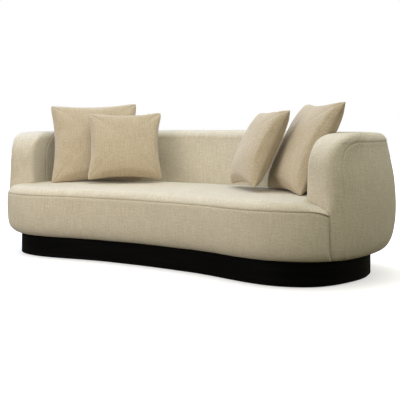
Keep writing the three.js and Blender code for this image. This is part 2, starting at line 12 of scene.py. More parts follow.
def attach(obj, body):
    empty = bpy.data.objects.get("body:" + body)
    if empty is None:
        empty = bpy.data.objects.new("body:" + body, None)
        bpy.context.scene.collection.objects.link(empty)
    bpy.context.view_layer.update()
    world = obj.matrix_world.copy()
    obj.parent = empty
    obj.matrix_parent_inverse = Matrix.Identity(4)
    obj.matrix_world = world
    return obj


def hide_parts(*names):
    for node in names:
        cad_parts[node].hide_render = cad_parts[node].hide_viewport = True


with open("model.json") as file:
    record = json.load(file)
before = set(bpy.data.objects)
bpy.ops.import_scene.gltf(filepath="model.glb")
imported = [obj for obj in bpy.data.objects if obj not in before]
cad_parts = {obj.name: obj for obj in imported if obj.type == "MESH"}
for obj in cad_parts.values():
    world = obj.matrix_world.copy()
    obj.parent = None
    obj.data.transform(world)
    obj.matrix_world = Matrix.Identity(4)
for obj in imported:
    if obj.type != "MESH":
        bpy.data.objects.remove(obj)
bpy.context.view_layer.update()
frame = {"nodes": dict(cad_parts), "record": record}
NODES = frame["nodes"]
rng = np.random.default_rng(7)

# ------------------------------------------------------------------ driving dimensions (metres, the frame's own)
Y_SHIFT = 0.460
BODY_BOTTOM = 0.1265
SEAT_SEAM_Z = 0.367
SEAT_TOP_Z = 0.421
CREST_ARM, CREST_BACK, CREST_R = 0.735, 0.744, 0.050
NOSE_R = 0.170
OUTER_LEAN, LEAN_BACK, LEAN_ARM = 0.046, 0.038, 0.012
U_NOSE = 0.1955
PLINTH = [(0, 86), (100, 84), (200, 79), (320, 72), (443, 53), (565, 26), (678, 6), (780, 0), (868, 14),
          (945, 47), (1010, 101), (1059, 190), (1090, 317), (1100, 420), (1090, 510), (1040, 660), (930, 760),
          (750, 820), (500, 850), (250, 865), (0, 870)]
INNER = [(0, 708), (85, 704), (180, 696), (333, 672), (492, 621), (620, 575), (746, 527), (810, 494),
         (870, 455), (921, 405), (944, 340), (948, 281), (943, 180), (936, 120)]


# ------------------------------------------------------------------ plan curves
def catmull(points, closed, per=60):
    """Centripetal Catmull-Rom through points, as a dense polyline."""
    P = np.array(points, float)
    n = len(P)
    out = []
    segs = n if closed else n - 1
    for i in range(segs):
        if closed:
            p0, p1, p2, p3 = P[(i - 1) % n], P[i], P[(i + 1) % n], P[(i + 2) % n]
        else:
            p1, p2 = P[i], P[i + 1]
            p0 = P[i - 1] if i > 0 else 2 * p1 - p2
            p3 = P[i + 2] if i + 2 < n else 2 * p2 - p1
        t0 = 0.0
        t1 = t0 + np.linalg.norm(p1 - p0) ** 0.5
        t2 = t1 + np.linalg.norm(p2 - p1) ** 0.5
        t3 = t2 + np.linalg.norm(p3 - p2) ** 0.5
        t = np.linspace(t1, t2, per, endpoint=False)[:, None]
        a1 = (t1 - t) / (t1 - t0) * p0 + (t - t0) / (t1 - t0) * p1
        a2 = (t2 - t) / (t2 - t1) * p1 + (t - t1) / (t2 - t1) * p2
        a3 = (t3 - t) / (t3 - t2) * p2 + (t - t2) / (t3 - t2) * p3
        b1 = (t2 - t) / (t2 - t0) * a1 + (t - t0) / (t2 - t0) * a2
        b2 = (t3 - t) / (t3 - t1) * a2 + (t - t1) / (t3 - t1) * a3
        out.append((t2 - t) / (t2 - t1) * b1 + (t - t1) / (t2 - t1) * b2)
    out = np.vstack(out)
    return np.vstack([out, out[:1] if closed else P[-1:]])


class Curve:
    def __init__(self, pts, smooth_len=0.0):
        self.p = pts
        d = np.linalg.norm(np.diff(pts, axis=0), axis=1)
        self.s = np.concatenate([[0], np.cumsum(d)])
        self.length = self.s[-1]

    def at(self, s):
        s = np.asarray(s, float)
        return np.stack([np.interp(s, self.s, self.p[:, k]) for k in range(2)], -1)

    def tangent(self, s, h=0.012):
        a = self.at(np.clip(np.asarray(s, float) - h, 0, self.length))
        b = self.at(np.clip(np.asarray(s, float) + h, 0, self.length))
        t = b - a
        return t / np.linalg.norm(t, axis=-1, keepdims=True)


def smoothstep(a, b, x):
    t = np.clip((np.asarray(x, float) - a) / (b - a), 0, 1)
    return t * t * (3 - 2 * t)


_closed = [(x / 1000, y / 1000) for x, y in PLINTH] + [(-x / 1000, y / 1000) for x, y in PLINTH[-2:0:-1]]
_dense = catmull(_closed, True)
PL = Curve(_dense)
_inner = [(-x / 1000, y / 1000) for x, y in INNER[:0:-1]] + [(x / 1000, y / 1000) for x, y in INNER]
IN = Curve(catmull(_inner, False))
INNER_HALF = IN.length / 2


def plinth_point(u, out):
    """u in [-0.5, 0.5], 0 at the front centre."""
    u = np.asarray(u, float)
    a = np.abs(u)
    s = a * PL.length
    p = PL.at(s)
    h = 0.012
    q0 = PL.at(np.abs(s - h)) * np.stack([np.where(s - h < 0, -1, 1), np.ones_like(s)], -1)
    q1s = s + h
    over = q1s > PL.length / 2
    q1 = PL.at(np.where(over, PL.length - q1s, q1s)) * np.stack([np.where(over, -1, 1), np.ones_like(s)], -1)
    t = q1 - q0
    t = t / np.linalg.norm(t, axis=-1, keepdims=True)
    n = np.stack([t[..., 1], -t[..., 0]], -1)
    r = p + n * np.asarray(out, float)[..., None]
    r[..., 0] *= np.where(u < 0, -1, 1)
    r[..., 1] -= Y_SHIFT
    return r


def overhang(u):
    return 0.080 + 0.050 * smoothstep(0.1874, 0.237, np.abs(u))


def outer_point(u, inset):
    return plinth_point(u, overhang(u) - inset)


def inner_point(q, out):
    q = np.asarray(q, float)
    a = np.abs(q)
    s = (0.5 + 0.5 * a) * IN.length
    p = IN.at(s)
    t = IN.tangent(s)
    n = np.stack([-t[..., 1], t[..., 0]], -1)
    n[..., 0] = np.where(a < 1e-6, 0, n[..., 0])
    r = p + n * np.asarray(out, float)[..., None]
    r[..., 0] *= np.where(q < 0, -1, 1)
    r[..., 1] -= Y_SHIFT
    return r


JOINT_DIR = np.array([-0.26, 0.966])      # the seat's end joint runs back from the arm's outer corner


def _joint_table():
    """Station of the seat's end joint for each inset of the outer face."""
    p0 = outer_point(np.array([U_NOSE]), np.array([0.0]))[0]
    uu = np.linspace(0.17, 0.27, 1200)
    ins = np.linspace(0, 0.13, 27)
    res = []
    for i in ins:
        p = outer_point(uu, np.full_like(uu, i)) - p0
        c = p[:, 0] * JOINT_DIR[1] - p[:, 1] * JOINT_DIR[0]
        k = np.argmin(np.abs(c) + (p @ JOINT_DIR < -0.01) * 1.0)
        res.append(uu[k])
    return ins, np.array(res)


JOINT_INS, JOINT_U = _joint_table()
JOINT_U = np.convolve(np.pad(JOINT_U, 2, mode="edge"), np.ones(5) / 5, mode="valid")
JOINT_U[0] = U_NOSE


def joint_u(inset):
    return np.interp(inset, JOINT_INS, JOINT_U)


def u_of(q, end=U_NOSE):
    q = np.asarray(q, float)
    return np.where(q < 0, -1, 1) * (0.5 + (end - 0.5) * np.abs(q))


# ------------------------------------------------------------------ mesh helpers
def grid_faces(idx, flip=False):
    a, b, c, d = idx[:-1, :-1], idx[:-1, 1:], idx[1:, 1:], idx[1:, :-1]
    f = np.stack([a, b, c, d], -1).reshape(-1, 4)
    return f[:, ::-1] if flip else f


def make_mesh(name, verts, faces, uvs=None, smooth=True):
    me = bpy.data.meshes.new(name)
    me.from_pydata([tuple(v) for v in verts], [], [tuple(int(i) for i in f) for f in faces])
    me.validate()
    if uvs is not None:
        layer = me.uv_layers.new(name="weave")
        li = np.empty(len(me.loops), dtype=np.int32)
        me.loops.foreach_get("vertex_index", li)
        layer.data.foreach_set("uv", np.asarray(uvs, np.float32)[li].ravel())
    if smooth:
        me.polygons.foreach_set("use_smooth", [True] * len(me.polygons))
    me.update()
    ob = bpy.data.objects.new(name, me)
    bpy.context.scene.collection.objects.link(ob)
    return ob


def vertex_normals(ob):
    me = ob.data
    n = np.empty(len(me.vertices) * 3, np.float32)
    me.vertices.foreach_get("normal", n)
    return n.reshape(-1, 3).astype(float)


def coords(ob):
    me = ob.data
    c = np.empty(len(me.vertices) * 3, np.float32)
    me.vertices.foreach_get("co", c)
    return c.reshape(-1, 3).astype(float)


def set_coords(ob, c):
    ob.data.vertices.foreach_set("co", np.asarray(c, np.float32).ravel())
    ob.data.update()


def wobble(p, seed, scale, octaves=2):
    """Smooth, repeatable, low-frequency field from a few sine waves."""
    r = np.random.default_rng(seed)
    out = np.zeros(len(p))
    amp, tot = 1.0, 0.0
    for o in range(octaves):
        for _ in range(5):
            d = r.normal(size=3)
            d /= np.linalg.norm(d)
            out += amp * np.sin(p @ d * (2 * math.pi / scale) * (2 ** o) + r.uniform(0, 2 * math.pi))
            tot += amp * 0.7
        amp *= 0.5
    return out / tot


# ------------------------------------------------------------------ materials
def rgb(r, g, b):
    return (r, g, b, 1.0)


class Nodes:
    def __init__(self, name):
        self.m = bpy.data.materials.new(name)
        self.m.use_nodes = True
        self.t = self.m.node_tree
        self.t.nodes.clear()
        self.out = self.t.nodes.new("ShaderNodeOutputMaterial")
        self.b = self.t.nodes.new("ShaderNodeBsdfPrincipled")
        self.t.links.new(self.b.outputs[0], self.out.inputs[0])

    def n(self, kind, **kw):
        x = self.t.nodes.new(kind)
        for k, v in kw.items():
            setattr(x, k, v)
        return x

    def link(self, a, b):
        self.t.links.new(a, b)

    def math(self, op, a, b=None, clamp=False):
        x = self.n("ShaderNodeMath", operation=op)
        x.use_clamp = clamp
        for i, v in enumerate([a, b]):
            if v is None:
                continue
            if isinstance(v, (int, float)):
                x.inputs[i].default_value = v
            else:
                self.link(v, x.inputs[i])
        return x.outputs[0]

    def mixrgb(self, fac, a, b, blend="MIX"):
        x = self.n("ShaderNodeMix", data_type="RGBA", blend_type=blend)
        for sock, v in ((x.inputs[0], fac), (x.inputs[6], a), (x.inputs[7], b)):
            if isinstance(v, (int, float, tuple)):
                sock.default_value = v
            else:
                self.link(v, sock)
        return x.outputs[2]

    def ramp(self, fac, stops):
        x = self.n("ShaderNodeValToRGB")
        e = x.color_ramp.elements
        while len(e) > 1:
            e.remove(e[-1])
        e[0].position, e[0].color = stops[0]
        for p, c in stops[1:]:
            k = e.new(p)
            k.color = c
        self.link(fac, x.inputs[0])
        return x.outputs[0]


def fabric(name, base, dark, light, uv=True, pitch=0.0052, bump=0.95, sheen=0.35):
    """Woven upholstery: warp and weft threads with slubs, faint mottling, sheen at the edges."""
    N = Nodes(name)
    if uv:
        src = N.n("ShaderNodeUVMap", uv_map="weave").outputs[0]
    else:
        src = N.n("ShaderNodeTexCoord").outputs["Object"]
    # a little wander, so threads aren't ruler straight
    wn = N.n("ShaderNodeTexNoise")
    wn.inputs["Scale"].default_value = 14.0
    wn.inputs["Detail"].default_value = 1.0
    N.link(src, wn.inputs["Vector"])
    off = N.n("ShaderNodeVectorMath", operation="MULTIPLY_ADD")
    N.link(wn.outputs["Color"], off.inputs[0])
    off.inputs[1].default_value = (0.004, 0.004, 0.004)
    N.link(src, off.inputs[2])
    vec = off.outputs[0]
    sep = N.n("ShaderNodeSeparateXYZ")
    N.link(vec, sep.inputs[0])
    k = 2 * math.pi / pitch
    sx = N.math("SINE", N.math("MULTIPLY", sep.outputs[0], k))
    sy = N.math("SINE", N.math("MULTIPLY", sep.outputs[1], k))
    # plain weave: over and under alternate
    over = N.math("MULTIPLY", N.math("SINE", N.math("MULTIPLY", sep.outputs[0], k / 2)), N.math("SINE", N.math("MULTIPLY", sep.outputs[1], k / 2)))
    weave = N.math("ADD", N.math("MULTIPLY", N.math("ADD", N.math("ABSOLUTE", sx), N.math("ABSOLUTE", sy)), 0.28), N.math("MULTIPLY", over, 0.42))

    def streak(sxv, syv, detail=2.0, rough=0.6):
        mp = N.n("ShaderNodeMapping")
        mp.inputs["Scale"].default_value = (sxv, syv, 1.0 if uv else sxv)
        N.link(src, mp.inputs[0])
        t = N.n("ShaderNodeTexNoise")
        t.inputs["Scale"].default_value = 1.0
        t.inputs["Detail"].default_value = detail
        t.inputs["Roughness"].default_value = rough
        N.link(mp.outputs[0], t.inputs["Vector"])
        return t.outputs["Fac"]

    warp = streak(170.0, 11.0)      # thick and thin yarns running up
    weft = streak(14.0, 190.0)
    boucle = streak(120.0, 105.0, 3.0, 0.7)
    mottle = streak(9.0, 7.0, 2.0)
    slub = N.math("ADD", N.math("MULTIPLY", warp, 0.55), N.math("MULTIPLY", weft, 0.45))
    tone = N.math("ADD", N.math("MULTIPLY", slub, 0.50), N.math("MULTIPLY", boucle, 0.50))
    tone = N.math("ADD", tone, N.math("MULTIPLY", N.math("SUBTRACT", mottle, 0.5), 0.09))
    col = N.ramp(tone, [(0.30, rgb(*dark)), (0.52, rgb(*base)), (0.72, rgb(*light))])
    wv = N.ramp(weave, [(0.05, rgb(0.80, 0.78, 0.74)), (0.55, rgb(1, 1, 1))])
    col = N.mixrgb(0.55, col, wv, "MULTIPLY")
    N.link(col, N.b.inputs["Base Color"])
    N.b.inputs["Roughness"].default_value = 0.93
    N.b.inputs["Specular IOR Level"].default_value = 0.18
    N.b.inputs["Sheen Weight"].default_value = sheen
    N.b.inputs["Sheen Roughness"].default_value = 0.55
    N.b.inputs["Sheen Tint"].default_value = rgb(0.98, 0.94, 0.86)
    h = N.math("ADD", N.math("MULTIPLY", weave, 0.40), N.math("MULTIPLY", slub, 0.6))
    h = N.math("ADD", h, N.math("MULTIPLY", boucle, 1.1))
    bp = N.n("ShaderNodeBump")
    bp.inputs["Strength"].default_value = bump
    bp.inputs["Distance"].default_value = 0.0026
    N.link(h, bp.inputs["Height"])
    N.link(bp.outputs[0], N.b.inputs["Normal"])
    return N.m


def wood_black(name):
    """Open-pored black stained veneer, satin, grain running along the plinth."""
    N = Nodes(name)
    tc = N.n("ShaderNodeUVMap", uv_map="weave").outputs[0]

    def noise(scale, detail=3.0, rough=0.6, dist=0.0):
        mp = N.n("ShaderNodeMapping")
        mp.inputs["Scale"].default_value = scale
        N.link(tc, mp.inputs[0])
        t = N.n("ShaderNodeTexNoise")
        t.inputs["Scale"].default_value = 1.0
        t.inputs["Detail"].default_value = detail
        t.inputs["Roughness"].default_value = rough
        t.inputs["Distortion"].default_value = dist
        N.link(mp.outputs[0], t.inputs["Vector"])
        return t.outputs["Fac"]

    grain = noise((3.0, 190.0, 1.0), 4.0, 0.65, 0.15)
    pore = noise((12.0, 620.0, 1.0), 2.0, 0.5)
    figure = noise((1.2, 26.0, 1.0), 3.0, 0.5, 0.6)
    g = N.math("ADD", N.math("MULTIPLY", grain, 0.6), N.math("MULTIPLY", figure, 0.4))
    col = N.ramp(g, [(0.34, rgb(0.0004, 0.0004, 0.0004)), (0.5, rgb(0.0010, 0.0010, 0.0010)), (0.62, rgb(0.0036, 0.0035, 0.0034)), (0.70, rgb(0.0085, 0.0083, 0.0080))])
    N.link(col, N.b.inputs["Base Color"])
    r = N.ramp(pore, [(0.35, rgb(0.72, 0.72, 0.72)), (0.6, rgb(0.52, 0.52, 0.52))])
    N.link(r, N.b.inputs["Roughness"])
    N.b.inputs["Specular IOR Level"].default_value = 0.045
    bp = N.n("ShaderNodeBump")
    bp.inputs["Strength"].default_value = 0.4
    bp.inputs["Distance"].default_value = 0.0005
    N.link(N.math("ADD", N.math("MULTIPLY", pore, 0.6), N.math("MULTIPLY", grain, 0.6)), bp.inputs["Height"])
    N.link(bp.outputs[0], N.b.inputs["Normal"])
    return N.m


def wood_raw(name, a, b, c, ply=False):
    N = Nodes(name)
    tc = N.n("ShaderNodeTexCoord").outputs["Object"]
    mp = N.n("ShaderNodeMapping")
    mp.inputs["Scale"].default_value = (5.0, 60.0, 60.0)
    N.link(tc, mp.inputs[0])
    t = N.n("ShaderNodeTexNoise")
    t.inputs["Scale"].default_value = 1.0
    t.inputs["Detail"].default_value = 5.0
    t.inputs["Distortion"].default_value = 0.4
    N.link(mp.outputs[0], t.inputs["Vector"])
    col = N.ramp(t.outputs["Fac"], [(0.3, rgb(*a)), (0.5, rgb(*b)), (0.7, rgb(*c))])
    if ply:
        w = N.n("ShaderNodeTexWave", wave_type="BANDS", bands_direction="Z")
        w.inputs["Scale"].default_value = 40.0
        w.inputs["Distortion"].default_value = 1.0
        N.link(tc, w.inputs["Vector"])
        col = N.mixrgb(0.16, col, N.ramp(w.outputs["Fac"], [(0.3, rgb(0.55, 0.42, 0.28)), (0.7, rgb(1, 1, 1))]), "MULTIPLY")
    N.link(col, N.b.inputs["Base Color"])
    N.b.inputs["Roughness"].default_value = 0.7
    bp = N.n("ShaderNodeBump")
    bp.inputs["Strength"].default_value = 0.25
    bp.inputs["Distance"].default_value = 0.001
    N.link(t.outputs["Fac"], bp.inputs["Height"])
    N.link(bp.outputs[0], N.b.inputs["Normal"])
    return N.m


def simple(name, a, b, scale, rough, metal=0.0, bump=0.2, dist=0.001, stretch=(1, 1, 1)):
    N = Nodes(name)
    tc = N.n("ShaderNodeTexCoord").outputs["Object"]
    mp = N.n("ShaderNodeMapping")
    mp.inputs["Scale"].default_value = stretch
    N.link(tc, mp.inputs[0])
    t = N.n("ShaderNodeTexNoise")
    t.inputs["Scale"].default_value = scale
    t.inputs["Detail"].default_value = 4.0
    N.link(mp.outputs[0], t.inputs["Vector"])
    N.link(N.ramp(t.outputs["Fac"], [(0.35, rgb(*a)), (0.65, rgb(*b))]), N.b.inputs["Base Color"])
    N.b.inputs["Roughness"].default_value = rough
    N.b.inputs["Metallic"].default_value = metal
    bp = N.n("ShaderNodeBump")
    bp.inputs["Strength"].default_value = bump
    bp.inputs["Distance"].default_value = dist
    N.link(t.outputs["Fac"], bp.inputs["Height"])
    N.link(bp.outputs[0], N.b.inputs["Normal"])
    return N.m


M_SOFA = fabric("sofa_fabric", (0.61, 0.545, 0.41), (0.42, 0.365, 0.255), (0.76, 0.705, 0.57))
M_CUSH = fabric("cushion_fabric", (0.500, 0.408, 0.272), (0.35, 0.275, 0.17), (0.64, 0.545, 0.395))
M_THREAD = simple("seam_thread", (0.42, 0.36, 0.26), (0.55, 0.48, 0.36), 900, 0.8)
M_BLACK = wood_black("black_stained_veneer")
M_PLY = wood_raw("birch_ply", (0.42, 0.29, 0.15), (0.55, 0.40, 0.22), (0.66, 0.50, 0.30), ply=True)
M_TIMBER = wood_raw("frame_timber", (0.36, 0.22, 0.10), (0.50, 0.33, 0.17), (0.60, 0.43, 0.24))
M_FOAM = simple("foam", (0.66, 0.58, 0.36), (0.80, 0.73, 0.50), 260, 1.0, bump=0.5)
M_WEB = simple("webbing", (0.02, 0.02, 0.018), (0.06, 0.058, 0.052), 500, 0.9, bump=0.5)
M_DUST = simple("dust_cloth", (0.006, 0.006, 0.006), (0.018, 0.018, 0.018), 700, 0.95, bump=0.4)
M_STEEL = simple("zinc_steel", (0.45, 0.45, 0.46), (0.62, 0.62, 0.63), 60, 0.34, 1.0, bump=0.05)
M_GLIDE = simple("glide_plastic", (0.012, 0.012, 0.012), (0.022, 0.022, 0.022), 300, 0.55)
M_FILL = simple("fibre_fill", (0.8, 0.78, 0.73), (0.9, 0.88, 0.84), 200, 1.0)
SLOT_MAT = {"sofa_fabric": M_SOFA, "cushion_fabric": M_CUSH, "black_wood": M_BLACK, "plywood": M_PLY, "timber": M_TIMBER,
            "foam": M_FOAM, "fill": M_FILL, "webbing": M_WEB, "dust_cloth": M_DUST, "steel": M_STEEL, "glide": M_GLIDE}
for sp in frame["record"]["subparts"]:
    ob = NODES[sp["node"]]
    ob.data.materials.clear()
    ob.data.materials.append(SLOT_MAT[sp["material_slot"]])


# ------------------------------------------------------------------ shell surface
def crest(q):
    return CREST_BACK + (CREST_ARM - CREST_BACK) * smoothstep(0.2, 0.7, np.abs(q))


def lean_in(q):
    return LEAN_BACK + (LEAN_ARM - LEAN_BACK) * smoothstep(0.35, 0.75, np.abs(q))


def refined(lo, hi, step, marks):
    """Values from lo to hi about step apart, closer near each mark (position, reach, fine step)."""
    xs = [lo]
    x = lo
    while x < hi - 1e-9:
        s = step
        for m, reach, fine in marks:
            d = abs(x - m)
            if d < reach:
                s = min(s, fine + (step - fine) * max(0.0, (d / reach)) ** 1.5)
            elif x < m and x + s > m - reach:
                s = min(s, max(fine, m - reach - x + fine))
        x = x + s
        xs.append(x)
    xs = np.array(xs)
    return lo + (xs - lo) * (hi - lo) / (xs[-1] - lo)


SEAM_Z = 0.690          # top seam of the outer cover
Q_SEAM = 0.9645         # upright seam of the outer cover, near the arm front
OUTER_LEN = PL.length * (0.5 - U_NOSE) + 0.12
SEAM_CORNER = 0.045


def outer_profile():
    """(inset factor of overhang, extra inset, z) along the outer face, from the bottom to the crest."""
    key = np.array([(1.00, 0, .1265), (0.93, 0, .1269), (0.80, 0, .1285), (0.65, 0, .1330), (0.51, 0, .1405), (0.39, 0, .151), (0.285, 0, .168),
                    (0.195, 0, .190), (0.125, 0, .218), (0.07, 0, .252), (0.028, 0, .292), (0.006, 0.0, .335), (0, 0.0, .375), (0, .002, .43), (0, .008, .50), (0, .018, .56),
                    (0, .031, .62), (0, .046, .685)])
    return key


def levels(zlist):
    key = outer_profile()
    f = np.interp(zlist, key[:, 2], key[:, 0])
    e = np.interp(zlist, key[:, 2], key[:, 1])
    return f, e


# level parameter: height on the straight part, then angle round the crest
Z_TOPSTART = 0.686
zl = np.concatenate([[0.1265, 0.1270, 0.1285, 0.1315, 0.136, 0.142, 0.149, 0.157], refined(0.166, Z_TOPSTART, 0.013, [(0.69, 0.055, 0.0028)])])
ang = np.radians(np.array([3, 6, 10, 15, 21, 28, 36, 45, 54, 63, 72, 81, 90.0]))


def side_levels(q, side):
    """Per station (array q): inset and z for every level, shapes (len(q), L)."""
    q = np.asarray(q, float)[:, None]
    zc = crest(q)
    base_z = zl[None, :] * np.ones_like(q)
    # stretch the straight part so that it ends one crest radius under the crest
    tz = np.clip((base_z - 0.42) / (Z_TOPSTART - 0.42), 0, 1)
    base_z = base_z + tz * (zc - CREST_R - Z_TOPSTART)
    if side == "outer":
        f, e = levels(zl)
        k = np.ones(3) / 3
        ov = overhang(u_of(q)) - 0.010
        lean = OUTER_LEAN * (1 - 0.35 * smoothstep(0.90, 0.99, np.abs(q)) - 0.40 * smoothstep(0.50, 0.80, -q))
        ins = f[None, :] * ov + e[None, :] * lean / 0.046
    else:
        t = np.clip((zl - 0.40) / (Z_TOPSTART - 0.40), 0, 1) ** 1.25
        ins = t[None, :] * lean_in(q)
        lean = lean_in(q)
    up_i = lean + CREST_R * (1 - np.cos(ang))[None, :]
    up_z = zc - CREST_R * (1 - np.sin(ang))[None, :]
    return np.concatenate([ins, up_i], 1), np.concatenate([base_z, up_z], 1)


def nose_cut(z, zc):
    h = np.clip(z - (zc - NOSE_R), 0, NOSE_R)
    # a plain circular cut, reaching full depth at the crest
    return NOSE_R - np.sqrt(np.maximum(0, NOSE_R ** 2 - h ** 2))


def box_filter(P, s, r):
    """Moving average of a polyline P(s) over +-r(s); rounds its corners."""
    seg = np.concatenate([[0], np.cumsum((P[1:, 0] * 0 + 1) * np.diff(s))])
    cum = np.vstack([np.zeros(2), np.cumsum((P[1:] + P[:-1]) / 2 * np.diff(s)[:, None], axis=0)])

    def integ(x):
        return np.stack([np.interp(x, s, cum[:, k]) for k in range(2)], -1)
    a, b = s - r, s + r
    w = np.maximum(b - a, 1e-9)[:, None]
    return (integ(b) - integ(a)) / w


def build_shell():
    q_marks = [(Q_SEAM * OUTER_LEN, 0.07, 0.0034), (0.895 * OUTER_LEN, 0.03, 0.0045)]
    half = refined(0.0, OUTER_LEN, 0.016, q_marks) / OUTER_LEN
    qs = np.concatenate([-half[:0:-1], half])
    S, L = len(qs), len(zl) + len(ang)
    ins_o, z_o = side_levels(qs, "outer")
    ins_i, z_i = side_levels(qs, "inner")
    zc = crest(qs)[:, None]
    cut_o, cut_i = nose_cut(z_o, zc), nose_cut(z_i, zc)
    qo = qs[:, None] * (1 - cut_o / OUTER_LEN)
    qi = qs[:, None] * (1 - cut_i / INNER_HALF)
    end_u = joint_u(np.where(z_o[-1] < 0.36, ins_o[-1], 0.0))[None, :]
    PO = outer_point(u_of(qo, end_u), ins_o)
    PI = inner_point(qi, ins_i)
    # nose columns across each arm front
    C = 30
    tc = (1 - np.cos(np.linspace(0, math.pi, C + 1))) / 2 * 0.35 + np.linspace(0, 1, C + 1) * 0.65
    z_side = z_o
    noseR = PO[-1][:, None, :] * (1 - tc)[None, :, None] + PI[-1][:, None, :] * tc[None, :, None]     # (L, C+1, 2)
    noseL = PO[0][:, None, :] * (1 - tc)[None, :, None] + PI[0][:, None, :] * tc[None, :, None]
    # round the plan corners level by level
    PO2, PI2, nR2, nL2 = PO.copy(), PI.copy(), noseR.copy(), noseL.copy()
    for l in range(L):
        ring = np.concatenate([PO[:, l], noseR[l, 1:], PI[::-1, l][1:], noseL[l, ::-1][1:]])
        d = np.linalg.norm(np.diff(ring, axis=0), axis=1)
        s = np.concatenate([[0], np.cumsum(d)])
        tot = s[-1]
        # corners: outer right = station S-1; inner right = S-1+C; inner left = S-1+C+S-1; outer left = end/start
        i_or, i_ir = S - 1, S - 1 + C
        i_il = i_ir + S - 1
        ext = np.concatenate([ring[:-1], ring, ring[1:]])
        se = np.concatenate([s[:-1] - tot, s, s[1:] + tot])
        r = np.full(len(s), 0.004)
        up = smoothstep(0.36, 0.47, z_side[-1, l])
        RO, RI = 0.011 + 0.029 * up, 0.020 + 0.008 * up
        for i, rad in ((i_or, RO), (i_ir, RI), (i_il, RI), (0, RO), (len(s) - 1, RO)):
            dist = np.abs(s - s[i])
            dist = np.minimum(dist, tot - dist)
            r = np.maximum(r, rad * np.clip(1.6 - 0.6 * dist / rad, 0, 1) * (dist < rad * 2.6))
        cum = np.vstack([np.zeros(2), np.cumsum((ext[1:] + ext[:-1]) / 2 * np.diff(se)[:, None], axis=0)])

        def integ(x):
            return np.stack([np.interp(x, se, cum[:, k]) for k in range(2)], -1)
        sm = (integ(s + r) - integ(s - r)) / (2 * r)[:, None]
        PO2[:, l] = sm[:S]
        nR2[l, 1:] = sm[S:S + C]
        nR2[l, 0] = sm[S - 1]
        PI2[::-1, l] = sm[i_ir:i_ir + S]
        nL2[l] = sm[i_il:i_il + C + 1][::-1]
    PO, PI, noseR, noseL = PO2, PI2, nR2, nL2
    zn = z_o[-1][:, None] * (1 - tc)[None] + z_i[-1][:, None] * tc[None]
    # top strip across, outer crest point to inner crest point
    crown = 0.0045
    A, B = PO[:, -1], PI[:, -1]
    top = A[:, None, :] * (1 - tc)[None, :, None] + B[:, None, :] * tc[None, :, None]
    for side, nose in ((-1, noseR), (0, noseL)):
        dev = nose[-1] - top[side]
        w = smoothstep(0.16, 0.0, (1 - np.abs(qs)) * OUTER_LEN)
        if side == -1:
            w = np.where(qs > 0, w, 0)
        else:
            w = np.where(qs < 0, w, 0)
        top = top + w[:, None, None] * dev[None]
    endfade = smoothstep(0.0, 0.14, (1 - np.abs(qs)) * OUTER_LEN)
    zt = (zc[:, 0] - 0.0)[:, None] + crown * np.sin(math.pi * tc)[None, :] ** 0.8 * endfade[:, None]

    verts, uvs = [], []
    SO = np.arange(S * L).reshape(S, L)
    verts.append(np.concatenate([PO, z_o[..., None]], -1).reshape(-1, 3))
    n0 = S * L
    SI = np.arange(S * L).reshape(S, L) + n0
    verts.append(np.concatenate([PI, z_i[..., None]], -1).reshape(-1, 3))
    n0 += S * L
    NR = np.zeros((L, C + 1), int)
    NR[:, 0], NR[:, -1] = SO[-1], SI[-1]
    NR[:, 1:-1] = n0 + np.arange(L * (C - 1)).reshape(L, C - 1)
    verts.append(np.concatenate([noseR[:, 1:-1], zn[:, 1:-1, None]], -1).reshape(-1, 3))
    n0 += L * (C - 1)
    NL = np.zeros((L, C + 1), int)
    NL[:, 0], NL[:, -1] = SO[0], SI[0]
    NL[:, 1:-1] = n0 + np.arange(L * (C - 1)).reshape(L, C - 1)
    verts.append(np.concatenate([noseL[:, 1:-1], zn[:, 1:-1, None]], -1).reshape(-1, 3))
    n0 += L * (C - 1)
    TP = np.zeros((S, C + 1), int)
    TP[:, 0], TP[:, -1] = SO[:, -1], SI[:, -1]
    TP[0, :], TP[-1, :] = NL[-1, :], NR[-1, :]
    TP[1:-1, 1:-1] = n0 + np.arange((S - 2) * (C - 1)).reshape(S - 2, C - 1)
    verts.append(np.concatenate([top[1:-1, 1:-1], zt[1:-1, 1:-1, None]], -1).reshape(-1, 3))
    V = np.vstack(verts)
    faces = [grid_faces(SO, True), grid_faces(SI), grid_faces(NR, True), grid_faces(NL), grid_faces(TP, True)]
    # underside strip
    BT = np.stack([SO[:, 0], SI[:, 0]], 1)
    faces.append(grid_faces(BT))
    F = np.vstack(faces)
    # bottom of the arm fronts
    tri = []
    for NN, flip in ((NR, False), (NL, True)):
        row = [int(i) for i in NN[0]]
        tri.append(row if flip else row[::-1])
    Fl = [tuple(f) for f in F] + [tuple(t) for t in tri]
